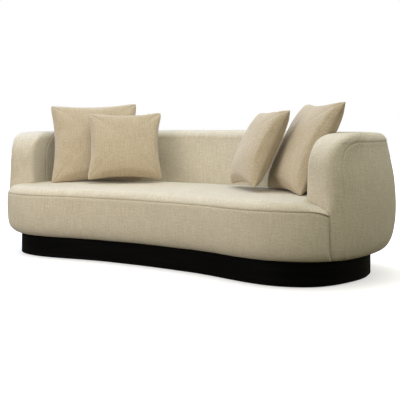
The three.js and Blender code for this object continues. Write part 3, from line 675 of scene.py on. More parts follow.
    # uv: metres along the path and round the section, continuous from outer face over the top to the inner face
    uv = np.zeros((len(V), 2))
    s_path = qs * OUTER_LEN
    q_in_scale = qs * INNER_HALF
    ho = np.concatenate([np.zeros((S, 1)), np.cumsum(np.hypot(np.diff(ins_o, axis=1), np.diff(z_o, axis=1)), 1)], 1)
    hi = np.concatenate([np.zeros((S, 1)), np.cumsum(np.hypot(np.diff(ins_i, axis=1), np.diff(z_i, axis=1)), 1)], 1)
    uv[SO.ravel(), 0] = np.repeat(s_path, L)
    uv[SO.ravel(), 1] = ho.ravel()
    wid = np.linalg.norm(PO[:, -1] - PI[:, -1], axis=1)
    uv[SI.ravel(), 0] = np.repeat(q_in_scale + 5, L)
    uv[SI.ravel(), 1] = hi.ravel()
    for NN, sgn in ((NR, 1), (NL, -1)):
        uv[NN[:, 1:-1].ravel(), 0] = sgn * (OUTER_LEN + (tc[None, 1:-1] * 0.16 * np.ones((L, 1)))).ravel()
        uv[NN[:, 1:-1].ravel(), 1] = (ho[-1][:, None] * np.ones((1, C - 1))).ravel()
    tt = tc[None, 1:-1]
    uv[TP[1:-1, 1:-1].ravel(), 0] = ((s_path[1:-1, None]) * (1 - tt) + (q_in_scale[1:-1, None]) * tt).ravel()
    uv[TP[1:-1, 1:-1].ravel(), 1] = (ho[1:-1, -1:] + tt * wid[1:-1, None]).ravel()
    return V, Fl, uv, dict(qs=qs, SO=SO, SI=SI, NR=NR, NL=NL, TP=TP, L=L, S=S, C=C, z_o=z_o)


def object_islands_uv(V, normals, SI, TP):
    pass


shellV, shellF, shellUV, G = build_shell()
shell = make_mesh("shell_upholstery", shellV, shellF, shellUV)
_bm = bmesh.new()
_bm.from_mesh(shell.data)
bmesh.ops.recalc_face_normals(_bm, faces=_bm.faces)
_bm.to_mesh(shell.data)
_bm.free()
N0 = vertex_normals(shell)
# orientation: the outside of the back must face +Y
mid = G["SO"][G["S"] // 2, G["L"] // 2]
if N0[mid][1] < 0:
    shell.data.flip_normals()
    N0 = vertex_normals(shell)


def polyline_distance(P, line):
    """Distance from points P to a polyline (dense points)."""
    from mathutils.kdtree import KDTree
    kd = KDTree(len(line))
    for i, p in enumerate(line):
        kd.insert(Vector(p), i)
    kd.balance()
    return np.array([kd.find(Vector(p))[2] for p in P])


def surface_q(side, q, z):
    """A point of the outer or inner face at station q and height z."""
    q = np.atleast_1d(np.asarray(q, float))
    z = np.atleast_1d(np.asarray(z, float))
    out = []
    for qq, zz in zip(q, z):
        ins, zs = side_levels(np.array([qq]), side)
        i = np.interp(zz, zs[0], ins[0])
        zc = float(crest(qq))
        cut = float(nose_cut(np.array(zz), zc))
        if side == "outer":
            p = outer_point(u_of(np.array([qq * (1 - cut / OUTER_LEN)])), np.array([i]))[0]
        else:
            p = inner_point(np.array([qq * (1 - cut / INNER_HALF)]), np.array([i]))[0]
        out.append((p[0], p[1], zz))
    return np.array(out)


def seam_lines():
    """Seam curves on the shell, interpolated on the built mesh grid so that they follow its surface."""
    qs, SO, SI, TP, NR = G["qs"], G["SO"], G["SI"], G["TP"], G["NR"]
    C = coords(shell)
    lines = []
    z_o = G["z_o"]
    # outer cover: up the corner, round, then along under the crest
    for sgn in (1, -1):
        pts = []
        zs = np.linspace(0.127, SEAM_Z - SEAM_CORNER, 240)
        q1 = np.full_like(zs, Q_SEAM)
        a = np.linspace(0, math.pi / 2, 60)
        dq = SEAM_CORNER / OUTER_LEN
        qc = Q_SEAM - dq * (1 - np.cos(a))
        zcn = SEAM_Z - SEAM_CORNER + SEAM_CORNER * np.sin(a)
        qh = np.linspace(Q_SEAM - dq, 0, 900)[1:]
        zh = np.full_like(qh, SEAM_Z)
        q = np.concatenate([q1, qc, qh]) * sgn
        z = np.concatenate([zs, zcn, zh])
        # the seam rides a little higher at the back, as the crest does
        z = z + (crest(q) - CREST_ARM) * smoothstep(0.5, 0.69, z)
        pts = surf_from_grid(q, z, "outer")
        lines.append(pts)
    return lines


def surf_from_grid(q, z, side):
    """Bilinear lookup on the built mesh, at station q and height z."""
    qs, L = G["qs"], G["L"]
    idx = G["SO"] if side == "outer" else G["SI"]
    C = SHELL_C
    P = C[idx]          # (S, L, 3)
    fi = np.interp(q, qs, np.arange(len(qs)))
    i0 = np.clip(np.floor(fi).astype(int), 0, len(qs) - 2)
    t = (fi - i0)[:, None, None]
    row = P[i0] * (1 - t) + P[i0 + 1] * t      # (n, L, 3)
    out = np.zeros((len(q), 3))
    for k in range(len(q)):
        zz = row[k, :, 2]
        zz = np.maximum.accumulate(zz + np.arange(len(zz)) * 1e-9)
        for c in range(3):
            out[k, c] = np.interp(z[k], zz, row[k, :, c])
    return out


SHELL_C = coords(shell)


def top_path(q0, q_of_t=None):
    """Unused stub: returns nothing."""
    pass


def shell_seams():
    lines = seam_lines()
    qs = G["qs"]
    # arm-front seam: up the inner face of the arm, over the top, to the outer cover's seam
    for sgn in (1, -1):
        q_in, q_out = 0.900, 0.942
        zs = np.linspace(0.40, 0.735, 160)
        pin = surf_from_grid(np.full_like(zs, q_in * sgn), zs, "inner")
        # across the top strip with the station drifting from q_in to q_out
        P = SHELL_C[G["TP"]]
        C = G["C"]
        cc = np.linspace(C, 0, 120)
        qq = np.linspace(q_in, q_out, 120) * sgn
        fi = np.interp(qq, qs, np.arange(len(qs)))
        i0 = np.clip(np.floor(fi).astype(int), 0, len(qs) - 2)
        c0 = np.clip(np.floor(cc).astype(int), 0, C - 1)
        a, b = (fi - i0)[:, None], (cc - c0)[:, None]
        ptop = (P[i0, c0] * (1 - a) + P[i0 + 1, c0] * a) * (1 - b) + (P[i0, c0 + 1] * (1 - a) + P[i0 + 1, c0 + 1] * a) * b
        zs = np.linspace(0.735, SEAM_Z, 30)
        pout = surf_from_grid(np.full_like(zs, q_out * sgn), zs, "outer")
        lines.append(np.vstack([pin, ptop, pout]))
    return lines


def groove(ob, lines, depth=0.0024, width=0.0034, puff=0.0009, reach=0.011):
    """Press each seam into the cloth and let the cloth rise a little on both sides of it."""
    P, Nn = coords(ob), vertex_normals(ob)
    line = np.vstack(lines)
    lo, hi = line.min(0) - 0.06, line.max(0) + 0.06
    m = np.all((P > lo) & (P < hi), 1)
    d = np.full(len(P), 1.0)
    d[m] = polyline_distance(P[m], line)
    off = -depth * np.exp(-(d / width) ** 2) + puff * np.exp(-((d - reach) / (reach * 0.7)) ** 2)
    set_coords(ob, P + Nn * off[:, None])


SHELL_SEAMS = shell_seams()
groove(shell, SHELL_SEAMS)
# taut cloth over foam: very slight unevenness
P = coords(shell)
set_coords(shell, P + vertex_normals(shell) * (wobble(P, 3, 0.34) * 0.0016)[:, None])
shell.data.materials.append(M_SOFA)


def thread(name, lines, radius, mat, lift=-0.0022, every=0.0):
    """A fine sewn line lying in the seam."""
    cu = bpy.data.curves.new(name, "CURVE")
    cu.dimensions = "3D"
    cu.bevel_depth = radius
    cu.bevel_resolution = 1
    for ln in lines:
        step = max(1, int(len(ln) / 400))
        pts = ln[::step]
        sp = cu.splines.new("POLY")
        sp.points.add(len(pts) - 1)
        for i, p in enumerate(pts):
            sp.points[i].co = (p[0], p[1], p[2], 1)
    cu.materials.append(mat)
    ob = bpy.data.objects.new(name, cu)
    bpy.context.scene.collection.objects.link(ob)
    return ob


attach(shell, "sofa_body")
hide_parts("shell_outer_cover", "shell_inner_cover", "arm_front_cover_left", "arm_front_cover_right", "shell_foam")


# ------------------------------------------------------------------ seat
def along_arm(side, inset, gap):
    corner = inner_point(np.array([float(side)]), np.array([0.0]))[0]
    o = outer_point(np.array([side * U_NOSE]), np.array([0.0]))[0]
    d = (corner - o) / np.linalg.norm(corner - o)
    n = np.array([side * d[1], -side * d[0]])
    if n[1] > 0:
        n = -n
    return o + d * inset + n * gap


END_RIGHT = np.array([(0.0, .364), (.010, .3705), (.025, .3775), (.043, .383), (.070, .389), (.100, .3945), (.130, .401), (.163, .407)])
END_LEFT = np.array([(0.0, .362), (.008, .374), (.024, .390), (.040, .4015), (.055, .4085), (.092, .4185), (.137, .425), (.163, .427)])


def build_seat():
    # stations along the front, closer together at the two end joints
    ha = refined(0.0, 1.0, 0.0085, [(1.0, 0.05, 0.0017)])
    av = np.concatenate([-ha[:0:-1], ha])
    half = U_NOSE * PL.length
    to_end = (1 - np.abs(av)) * half
    roll = 0.010 * np.clip(1 - to_end / 0.013, 0, 1) ** 2
    droop = 0.026 * np.clip(1 - to_end / 0.070, 0, 1) ** 2.2 * (av > 0)
    # section rows: bottom tuck, border, seam, top roundover
    rows = [(.1265, .070), (.1268, .0650), (.1278, .0580), (.1300, .0500), (.1335, .0420), (.1385, .0345), (.1450, .0277), (.1530, .0215), (.1620, .0165)]
    bz = refined(0.172, SEAT_SEAM_Z, 0.010, [(SEAT_SEAM_Z, 0.03, 0.0022)])
    kz = np.array([(.172, .0125), (.190, .0078), (.215, .0040), (.250, .0012), (.300, .0), (.345, .0009), (SEAT_SEAM_Z, .0032)])
    for z in bz:
        rows.append((float(z), float(np.interp(z, kz[:, 0], kz[:, 1]))))
    seam_i = len(rows) - 1
    na = 22
    for t in np.linspace(0, 1, na + 1)[1:]:
        a = t ** 1.25 * math.pi / 2
        rows.append((SEAT_SEAM_Z + 0.0495 * math.sin(a) ** 0.94, 0.0032 + 0.066 * (1 - math.cos(a)) ** 0.93))
    rows = np.array(rows)
    R1, n = len(rows), len(av)
    front = np.zeros((R1, n, 3))
    wz = smoothstep(0.86, 1.0, np.abs(av)) ** 1.2
    for r, (z, d) in enumerate(rows):
        # the border's tuck is deeper towards the ends, where it meets the arm's own
        ov = 0.070 + 0.0 * av
        dd = d + roll - 0.007 * smoothstep(-0.55, -0.95, av) * smoothstep(0.13, 0.18, z) * smoothstep(0.42, 0.36, z)
        u = av * float(joint_u(d if r <= seam_i else 0.0))
        p = outer_point(u, dd)
        front[r, :, :2] = p
        front[r, :, 2] = z
        if r > seam_i:
            t = (r - seam_i) / (R1 - 1 - seam_i)
            for side, table in ((1, END_RIGHT), (-1, END_LEFT)):
                m = (av * side) > 0
                de = 0.003 + 0.095 * t ** 1.1
                e = along_arm(side, de, -0.008)
                end = p[-1] if side > 0 else p[0]
                w = (smoothstep(0.90, 1.0, np.abs(av)) * m)[:, None]
                front[r, :, :2] += w * (e - end)[None]
                ze = float(np.interp(de, table[:, 0], table[:, 1]))
                front[r, :, 2] += wz * m * (ze - z)
            front[r, :, 2] -= droop * (1 - t) ** 2.4
        else:
            for side, table in ((1, END_RIGHT), (-1, END_LEFT)):
                m = (av * side) > 0
                front[r, :, 2] += wz * m * (table[0, 1] - SEAT_SEAM_Z) * smoothstep(0.25, SEAT_SEAM_Z, z)
            front[r, :, 2] -= droop * smoothstep(0.24, SEAT_SEAM_Z, z)
    # top rows to the back line
    back = inner_point(av, np.full(n, 0.006))
    tb = refined(0.0, 1.0, 0.020, [(1.0, 0.12, 0.006)])[1:]
    last = front[-1, :, :2]
    top = last[None] * (1 - tb)[:, None, None] + back[None] * tb[:, None, None]
    L = np.linalg.norm(back - last, axis=1)
    dist_front = tb[:, None] * L[None]
    dist_back = (1 - tb)[:, None] * L[None]
    z0 = rows[-1, 0]
    rise = 0.0125 * smoothstep(0, 0.26, dist_front)
    fall = -0.017 * np.exp(-(dist_back / 0.017) ** 1.2) - 0.005 * smoothstep(0.16, 0.0, dist_back)
    zt = z0 + rise + fall
    for side, table in ((1, END_RIGHT), (-1, END_LEFT)):
        m = ((av * side) > 0)[None]
        de = 0.098 + (0.163 - 0.098) * tb
        ze = np.interp(de, table[:, 0], table[:, 1])[:, None]
        zt = zt + wz[None] * m * (ze - zt)
    topv = np.concatenate([top, zt[..., None]], -1)
    grid = np.concatenate([front, topv], 0)
    # one more column at each end dives into the joint, so that no gap shows
    def dive(col, side):
        e = col.copy()
        for r in range(len(col)):
            if r <= seam_i:
                d = rows[r, 1]
                e[r, :2] = outer_point(np.array([side * float(joint_u(d))]), np.array([d + 0.042]))[0]
            else:
                e[r, :2] += np.array([side * 0.004, 0.014])
        return e
    grid = np.concatenate([dive(grid[:, 0], -1)[:, None], grid, dive(grid[:, -1], 1)[:, None]], 1)
    n += 2
    V = grid.reshape(-1, 3)
    idx = np.arange(len(V)).reshape(-1, n)
    F = [tuple(f) for f in grid_faces(idx)]
    g2 = grid[:R1]
    arc = np.concatenate([[0], np.cumsum(np.linalg.norm(np.diff(g2[14, :, :2], axis=0), axis=1))])
    arc = arc - arc.max() / 2
    sec = np.concatenate([[0], np.cumsum(np.hypot(np.diff(rows[:, 0]), np.diff(rows[:, 1])))])
    uvf = np.stack([np.repeat(arc[None], R1, 0), np.repeat(sec[:, None], n, 1)], -1)
    uvt = grid[R1:, :, :2] + np.array([arc[n // 2], 0.0])
    # the top panel's threads run on from the front edge
    base = uvf[-1]
    dback = np.concatenate([np.zeros((1, n)), np.cumsum(np.linalg.norm(np.diff(np.concatenate([grid[R1 - 1:R1, :, :2], grid[R1:, :, :2]]), axis=0), axis=2), 0)])[1:]
    uvt = np.stack([np.repeat(grid[R1 - 1:R1, :, 0], len(grid) - R1, 0) * 0 + grid[R1:, :, 0], base[None, :, 1] + dback], -1)
    uv = np.vstack([uvf.reshape(-1, 2), uvt.reshape(-1, 2)])
    return V, F, uv, idx, rows, R1, grid[:R1], grid[R1:]


seatV, seatF, seatUV, SIDX, SROWS, SR1, SFRONT, STOP = build_seat()
seam_row = int(np.argmin(np.abs(SROWS[:, 0] - SEAT_SEAM_Z)))


def panel(name, r0, r1, close_depth, mat):
    """Rows r0..r1 of the seat grid as one open skin facing outwards, with its material."""
    idx = SIDX[r0:r1 + 1]
    used = idx.ravel()
    remap = {int(v): i for i, v in enumerate(used)}
    V = seatV[used]
    n = idx.shape[1]
    R = idx.shape[0]
    loc = np.arange(R * n).reshape(R, n)
    F = [tuple(f) for f in grid_faces(loc)]
    ob = make_mesh(name, V, F, seatUV[used])
    if vertex_normals(ob)[loc[R // 3, n // 2]][2 if r0 == seam_row else 1] * (1 if r0 == seam_row else -1) < 0:
        ob.data.flip_normals()
    ob.data.materials.append(mat)
    return ob, loc


seat_top, loc_top = panel("seat_top_panel", seam_row, len(SIDX) - 1, 0.02, M_SOFA)
seat_border, loc_border = panel("seat_border_panel", 0, seam_row, 0.02, M_SOFA)
seam_line = SFRONT[seam_row].copy()
dense_t = np.linspace(0, len(seam_line) - 1, 1800)
seam_line = np.stack([np.interp(dense_t, np.arange(len(seam_line)), seam_line[:, k]) for k in range(3)], -1)
for ob in (seat_top, seat_border):
    groove(ob, [seam_line], depth=0.0019, width=0.0028, puff=0.0007, reach=0.011)
P = coords(seat_top)
set_coords(seat_top, P + vertex_normals(seat_top) * (wobble(P, 5, 0.42) * 0.0022 * smoothstep(0.36, 0.40, P[:, 2]))[:, None])
P = coords(seat_border)
set_coords(seat_border, P + vertex_normals(seat_border) * (wobble(P, 6, 0.36) * 0.0015)[:, None])


def thicken(ob, t):
    """Give an open panel a real thickness, inwards, so that it is a closed shell."""
    m = ob.modifiers.new("cloth_thickness", "SOLIDIFY")
    m.thickness = t
    m.offset = -1
    m.use_even_offset = False
    dg = bpy.context.evaluated_depsgraph_get()
    me = bpy.data.meshes.new_from_object(ob.evaluated_get(dg))
    ob.modifiers.clear()
    old = ob.data
    ob.data = me
    bpy.data.meshes.remove(old)


for ob in (seat_top, seat_border):
    thicken(ob, 0.0035)
    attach(ob, "sofa_body")
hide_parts("seat_top_cover", "seat_foam")
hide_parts("seat_border_cover", "seat_border_foam")


# ------------------------------------------------------------------ plinth fascia, finely curved
def fascia(name, node, u0, u1):
    """One bent board of the plinth between two stations, with eased edges."""
    t, z0, z1, e, gap = 0.018, 0.004, 0.124, 0.0010, 0.0
    L = PL.length
    n = max(24, int((u1 - u0) * L / 0.012))
    u = np.linspace(u0 + gap / L, u1 - gap / L, n)
    u = np.concatenate([[u[0]], [u[0] + e / L], u[1:-1], [u[-1] - e / L], [u[-1]]])
    ease = np.zeros(len(u))
    ease[0] = ease[-1] = 0.0005
    uu = np.where(u > 0.5, u - 1, u)
    sec = [(0, z0 + e), (0, z0 + e + 0.002), (0, z1 - e - 0.002), (0, z1 - e), (e * 0.3, z1 - e * 0.3), (e, z1), (t - e, z1), (t, z1 - e), (t, z0 + e), (t - e, z0), (e, z0), (e * 0.3, z0 + e * 0.3)]
    rings = []
    for d, z in sec:
        inw = d + np.where(d < t / 2, ease, -ease)
        p = plinth_point(uu, -inw)
        rings.append(np.concatenate([p, np.full((len(u), 1), z)], 1))
    R = np.array(rings)
    k, m = R.shape[:2]
    idx = np.arange(k * m).reshape(k, m)
    idx = np.vstack([idx, idx[:1]])
    F = [tuple(f) for f in grid_faces(idx)]
    F.append(tuple(int(i) for i in idx[:-1, 0][::-1]))
    F.append(tuple(int(i) for i in idx[:-1, -1]))
    s_len = u * L
    per = np.concatenate([[0], np.cumsum([math.hypot(sec[i][0] - sec[i - 1][0], sec[i][1] - sec[i - 1][1]) for i in range(1, k)])])
    uv = np.stack([np.repeat(s_len[None], k, 0), np.repeat(per[:, None], m, 1)], -1).reshape(-1, 2)
    ob = make_mesh(name, R.reshape(-1, 3), F, uv)
    bm = bmesh.new()
    bm.from_mesh(ob.data)
    bmesh.ops.recalc_face_normals(bm, faces=bm.faces)
    bm.to_mesh(ob.data)
    bm.free()
    for poly in ob.data.polygons:
        poly.use_smooth = len(poly.vertices) == 4
    ob.data.materials.append(M_BLACK)
    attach(ob, "sofa_body")
    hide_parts(node)
    return ob


fascia("fascia_front", "plinth_fascia_front", -0.208, 0.208)
fascia("fascia_right", "plinth_fascia_right", 0.208, 0.318)
fascia("fascia_back", "plinth_fascia_back", 0.318, 0.682)
fascia("fascia_left", "plinth_fascia_left", 0.682, 0.792)


# ------------------------------------------------------------------ loose cushions
CUSHIONS = {   # name: (size, fullness in front and behind, position, azimuth, lean, roll), at the frame's cushions
    "cushion_right_large": (0.572, 0.088, 0.070, (0.772, 0.432, 0.657), -42, 27, 0),
    "cushion_left_large": (0.592, 0.080, 0.070, (-0.697, 0.424, 0.668), 42, 28, 2.0),
    "cushion_right_small": (0.482, 0.090, 0.056, (0.507, 0.418, 0.650), -42, 26, 1),
    "cushion_left_small": (0.484, 0.078, 0.056, (-0.449, 0.417, 0.650), 42, 27, 0),
}


def closed_pillow(S, T, X, Y):
    """Crowned square form: sides pulled in between the corners, corners blunt, full almost to the seam."""
    pull = 0.118
    m = np.maximum(np.maximum(np.abs(X), np.abs(Y)), 1e-4)
    blunt = np.where(m > 0.2, (np.abs(X) ** 11 + np.abs(Y) ** 11) ** (1 / 11) / m, 1.0)
    x = S / 2 * X * (1 - pull * (1 - Y ** 2) * X ** 2) / blunt
    y = S / 2 * Y * (1 - pull * (1 - X ** 2) * Y ** 2) / blunt
    h = T / 2 * np.power(np.clip((1 - X ** 2) * (1 - Y ** 2), 0, 1), 0.48)
    return x, y, h


def pillow_start(name, S, TF, TB, n, seed):
    """Front and back panel sewn together round the edge, as one closed mesh with thread-direction UVs."""
    a = np.sin(np.linspace(-math.pi / 2, math.pi / 2, n + 1)) * 0.45 + np.linspace(-1, 1, n + 1) * 0.55
    X, Y = np.meshgrid(a, a)
    x, y, h = closed_pillow(S, 2.0, X, Y)
    edge = np.minimum(1 - np.abs(X), 1 - np.abs(Y))
    flatp = np.stack([x.ravel(), y.ravel(), 0 * x.ravel()], -1)

    def relief(k):
        lump = wobble(flatp, seed + k, 0.26, 2).reshape(X.shape) * 0.0055 * smoothstep(0, 0.45, edge)
        r = np.random.default_rng(seed + 90 + k)
        pleat = np.zeros_like(X)
        for along, across in ((Y * S / 2, X), (X * S / 2, Y)):
            for side in (-1, 1):
                f = np.zeros_like(X)
                for _ in range(7):
                    wave = r.uniform(0.026, 0.075)
                    f += np.sin(2 * math.pi * along / wave + r.uniform(0, 6.28)) * r.uniform(0.3, 1)
                d = 1 - across * side
                reach = r.uniform(0.10, 0.20)
                pleat += f / 3.2 * smoothstep(0.0, 0.05, d) * np.exp(-(d / reach) ** 1.4)
        return lump + pleat * 0.0021

    up, down = relief(1), relief(2)
    top = np.stack([x, y, h * TF + up * smoothstep(0, 0.03, edge)], -1)
    bot = np.stack([x, y, -h * TB + down * smoothstep(0, 0.03, edge)], -1)
    n1 = n + 1
    it = np.arange(n1 * n1).reshape(n1, n1)
    ib = it.copy()
    k = n1 * n1
    V = list(top.reshape(-1, 3))
    flat = np.stack([X * S / 2, Y * S / 2], -1)
    uv = list(flat.reshape(-1, 2))
    for i in range(1, n):
        for j in range(1, n):
            ib[i, j] = k
            k += 1
            V.append(bot[i, j])
            uv.append((flat[i, j, 0] + 2, flat[i, j, 1]))
    F = [tuple(f) for f in grid_faces(it)] + [tuple(f) for f in grid_faces(ib, True)]
    ob = make_mesh(name, np.array(V), F, np.array(uv))
    return ob, it, ib


def inflate(ob, frames, pressure, slack):
    """Loose cloth round a full pad: the pressure keeps it full and the slack buckles along the seams."""
    m = ob.modifiers.new("Cloth", "CLOTH")
    s = m.settings
    s.quality = 7
    s.mass = 0.3
    s.tension_stiffness = 40
    s.compression_stiffness = 40
    s.shear_stiffness = 18
    s.bending_stiffness = 0.8
    s.tension_damping = 10
    s.compression_damping = 10
    s.shear_damping = 8
    s.bending_damping = 0.8
    s.air_damping = 3
    s.use_pressure = True
    s.uniform_pressure_force = pressure
    s.shrink_min = -slack
    s.shrink_max = -slack
    s.effector_weights.gravity = 0
    m.collision_settings.use_collision = False
    m.collision_settings.use_self_collision = False
    m.point_cache.frame_start = 1
    m.point_cache.frame_end = frames
    sc = bpy.context.scene
    for f in range(1, frames + 1):
        sc.frame_set(f)
    dg = bpy.context.evaluated_depsgraph_get()
    me = bpy.data.meshes.new_from_object(ob.evaluated_get(dg))
    c = np.empty(len(me.vertices) * 3, np.float32)
    me.vertices.foreach_get("co", c)
    ob.modifiers.remove(m)
    bpy.data.meshes.remove(me)
    sc.frame_set(1)
    return c.reshape(-1, 3).astype(float)


def basis(az, lean, roll):
    az, le, ro = math.radians(az), math.radians(lean), math.radians(roll)
    h = np.array([math.sin(az), -math.cos(az), 0])
    z = np.array([0, 0, 1.0])
    n = h * math.cos(le) + z * math.sin(le)
    up = -h * math.sin(le) + z * math.cos(le)
    x = np.cross(up, n)
    return np.stack([x * math.cos(ro) + up * math.sin(ro), up * math.cos(ro) - x * math.sin(ro), n])


def make_cushion(name, S, TF, TB, seed):
    n = 56
    ob, it, ib = pillow_start(name + "_cover", S, TF, TB, n, seed)
    C0 = coords(ob)
    C = inflate(ob, 18, 2.4, 0.020)
    C -= (C.mean(0) - C0.mean(0))
    d = C - C0
    far = np.linalg.norm(d, axis=1, keepdims=True)
    cap = 0.011
    print(name, "moved", round(float(far.max()), 4), "mean", round(float(far.mean()), 4), "thick", round(float(np.ptp(C[:, 2])), 4), flush=True)
    C = C0 + d * (cap * np.tanh(far / cap) / np.maximum(far, 1e-9))
    C[:, 2] = np.where(C[:, 2] > 0, C[:, 2] * min(1.0, 1.04 * TF / C[:, 2].max()), C[:, 2] * min(1.0, 1.04 * TB / -C[:, 2].min()))
    # the seam: a narrow ridge where the panels meet, the cloth drawn in just beside it
    perim = np.unique(np.concatenate([it[0], it[-1], it[:, 0], it[:, -1]]))
    r = np.linalg.norm(C[perim, :2], axis=1, keepdims=True)
    C[perim, :2] *= 1 + 0.0022 / r
    C[perim, 2] *= 0.5
    for grid in (it, ib):
        ring = np.unique(np.concatenate([grid[1, 1:-1], grid[-2, 1:-1], grid[1:-1, 1], grid[1:-1, -2]]))
        C[ring, 2] *= 0.80
    set_coords(ob, C)
    return ob, it, ib


SEEDS = {"cushion_left_large": 11, "cushion_left_small": 12, "cushion_right_small": 13, "cushion_right_large": 14}
from mathutils.bvhtree import BVHTree


def tree_of(ob):
    me = ob.data
    return BVHTree.FromPolygons([v.co.copy() for v in me.vertices], [tuple(f.vertices) for f in me.polygons])


def press(W, tree, gap, deepest, up_only=False):
    """Where the cloth would go into a neighbour, it lies against it instead."""
    moved = 0
    for i in range(len(W)):
        p = Vector(W[i])
        loc, nrm, _, dist = tree.find_nearest(p, deepest)
        if loc is None:
            continue
        inside = (p - loc).dot(nrm)
        if inside < gap and dist < deepest:
            q = loc + nrm * gap
            if up_only:
                W[i][2] = max(W[i][2], q.z)
            else:
                W[i] = q
            moved += 1
    return moved


def rest_on(W, tree, gap):
    """The cloth lies on top of the seat where it would sink in."""
    for i in range(len(W)):
        if W[i][2] < 0.48:
            hit = tree.ray_cast(Vector((W[i][0], W[i][1], 0.9)), Vector((0, 0, -1)))[0]
            if hit is not None:
                W[i][2] = max(W[i][2], hit.z + gap)


def ease(W, before, faces_n, rounds=3):
    """Spread the pressing a little to the cloth around it."""
    d = W - before
    for _ in range(rounds):
        acc = np.zeros_like(d)
        cnt = np.zeros(len(d))
        for k in range(4):
            a, b = faces_n[:, k], faces_n[:, (k + 1) % 4]
            np.add.at(acc, a, d[b])
            np.add.at(acc, b, d[a])
            np.add.at(cnt, a, 1)
            np.add.at(cnt, b, 1)
        avg = acc / cnt[:, None]
        hard = np.linalg.norm(d, axis=1) > 0.004
        d = np.where(hard[:, None], d * 0.8 + avg * 0.2, avg)
    return before + d


SHELL_TREE, SEAT_TREE = tree_of(shell), tree_of(seat_top)
DONE = []
for cname, (S, TF, TB, pos, az, lean, roll) in CUSHIONS.items():
    ob, it, ib = make_cushion(cname, S, TF, TB, SEEDS[cname])
    C = coords(ob)
    B = basis(az, lean, roll)
    W = C @ B + np.array([pos[0], pos[1] - Y_SHIFT, pos[2]])
    quads = np.vstack([grid_faces(it), grid_faces(ib)])
    for step in range(2):
        before = W.copy()
        for t in DONE:
            press(W, t, 0.0015, 0.070)
        press(W, SHELL_TREE, 0.0015, 0.065)
        W = ease(W, before, quads)
    for t in DONE:
        press(W, t, 0.0015, 0.070)
    press(W, SHELL_TREE, 0.0015, 0.065)
    rest_on(W, SEAT_TREE, 0.0015)
    set_coords(ob, W)
    DONE.append(tree_of(ob))
    ob.data.materials.append(M_CUSH)
    if vertex_normals(ob)[it[10, 10]] @ B[2] < 0:
        ob.data.flip_normals()
    sub = ob.modifiers.new("smooth", "SUBSURF")
    sub.levels = 1
    sub.render_levels = 1
    dg = bpy.context.evaluated_depsgraph_get()
    me = bpy.data.meshes.new_from_object(ob.evaluated_get(dg))
    ob.modifiers.clear()
    ob.data = me
    W = coords(ob)
    for t in DONE[:-1]:
        press(W, t, 0.0015, 0.030)
    press(W, SHELL_TREE, 0.0015, 0.065)
    rest_on(W, SEAT_TREE, 0.0015)
    set_coords(ob, W)
    ob.data.polygons.foreach_set("use_smooth", [True] * len(ob.data.polygons))
    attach(ob, cname)
    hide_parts(cname + "_front_cover", cname + "_back_cover", cname + "_insert")


# ------------------------------------------------------------------ floor, light, camera
def floor():
    me = bpy.data.meshes.new("floor")
    s = 16.0
    me.from_pydata([(-s, -s, 0), (s, -s, 0), (s, s, 0), (-s, s, 0)], [], [(0, 1, 2, 3)])
    ob = bpy.data.objects.new("floor", me)
    bpy.context.scene.collection.objects.link(ob)
    N = Nodes("studio_floor")
    N.b.inputs["Base Color"].default_value = rgb(0.80, 0.80, 0.80)
    N.b.inputs["Roughness"].default_value = 1.0
    N.b.inputs["Specular IOR Level"].default_value = 0.0
    N.b.inputs["Emission Color"].default_value = rgb(1, 1, 1)
    tc = N.n("ShaderNodeTexCoord").outputs["Object"]
    ln = N.n("ShaderNodeVectorMath", operation="LENGTH")
    N.link(tc, ln.inputs[0])
    mr = N.n("ShaderNodeMapRange", interpolation_type="SMOOTHSTEP")
    mr.inputs["From Min"].default_value = 1.5
    mr.inputs["From Max"].default_value = 3.4
    mr.inputs["To Min"].default_value = FLOOR_GLOW
    mr.inputs["To Max"].default_value = 1.05
    N.link(ln.outputs["Value"], mr.inputs["Value"])
    N.link(mr.outputs[0], N.b.inputs["Emission Strength"])
    me.materials.append(N.m)
    ob.visible_diffuse = False
    ob.visible_glossy = False


FLOOR_GLOW = 0.46
SKY = (0.87, 0.86, 0.78)
GROUND = (0.08, 0.07, 0.02)
AREAS = {      # name: (place, aimed at, size, watts per channel)
    "top": ((0.0, -0.2, 3.4), (0.1, 0.0, 0.4), 2.6, (49, 53, 58)),
    "near": ((-0.6, -2.7, 0.72), (-0.2, 0.0, 0.32), 1.5, (27, 25, 26)),
    "left": ((-3.0, 0.8, 3.0), (0.2, 0.1, 0.5), 1.8, (24, 40, 84)),
}


def area(name, loc, target, size, watts):
    top = max(watts)
    l = bpy.data.lights.new(name, "AREA")
    l.energy = top
    l.color = tuple(w / top for w in watts)
    l.shape = "SQUARE"
    l.size = size
    ob = bpy.data.objects.new(name, l)
    ob.location = loc
    d = Vector(target) - Vector(loc)
    ob.rotation_euler = d.to_track_quat("-Z", "Y").to_euler()
    ob.visible_camera = False
    bpy.context.scene.collection.objects.link(ob)
    return ob


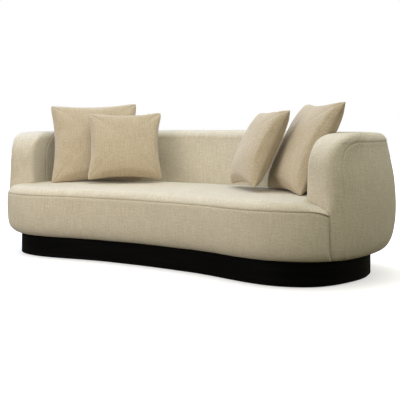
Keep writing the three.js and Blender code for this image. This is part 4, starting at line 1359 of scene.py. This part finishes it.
def sky():
    """A soft dome: one tone from above, one from below, plain white where the camera looks past the sofa."""
    world = bpy.data.worlds.new("studio")
    bpy.context.scene.world = world
    world.use_nodes = True
    t = world.node_tree
    t.nodes.clear()
    out = t.nodes.new("ShaderNodeOutputWorld")
    co = t.nodes.new("ShaderNodeTexCoord")
    sp = t.nodes.new("ShaderNodeSeparateXYZ")
    t.links.new(co.outputs["Generated"], sp.inputs[0])
    mr = t.nodes.new("ShaderNodeMapRange")
    mr.inputs["From Min"].default_value = -0.12
    mr.inputs["From Max"].default_value = 0.12
    t.links.new(sp.outputs[2], mr.inputs["Value"])
    mix = t.nodes.new("ShaderNodeMix")
    mix.data_type = "RGBA"
    t.links.new(mr.outputs[0], mix.inputs[0])
    mix.inputs[6].default_value = rgb(*GROUND)
    mix.inputs[7].default_value = rgb(*SKY)
    lit = t.nodes.new("ShaderNodeBackground")
    t.links.new(mix.outputs[2], lit.inputs[0])
    lit.inputs[1].default_value = 1.0
    seen = t.nodes.new("ShaderNodeBackground")
    seen.inputs[0].default_value = rgb(1, 1, 1)
    seen.inputs[1].default_value = 1.0
    lp = t.nodes.new("ShaderNodeLightPath")
    ms = t.nodes.new("ShaderNodeMixShader")
    t.links.new(lp.outputs["Is Camera Ray"], ms.inputs[0])
    t.links.new(lit.outputs[0], ms.inputs[1])
    t.links.new(seen.outputs[0], ms.inputs[2])
    t.links.new(ms.outputs[0], out.inputs[0])


floor()
sky()
for aname, (loc, target, size, watts) in AREAS.items():
    if max(watts) > 0:
        area(aname, loc, target, size, watts)
sc = bpy.context.scene
sc.view_settings.view_transform = "Standard"
sc.view_settings.look = "None"
sc.view_settings.exposure = 0.0

cam_d = bpy.data.cameras.new("camera")
cam_d.lens = 72.0
cam_d.sensor_width = 36.0
cam_d.clip_end = 60
cam = bpy.data.objects.new("camera", cam_d)
sc.collection.objects.link(cam)
sc.camera = cam
cam.location = (2.722, -3.336 - Y_SHIFT, 0.76)
fwd = Vector((-0.571, 0.821, 0.0))
cam.rotation_euler = fwd.to_track_quat("-Z", "Y").to_euler()
cam_d.shift_y = -0.18
cam_d.dof.use_dof = False
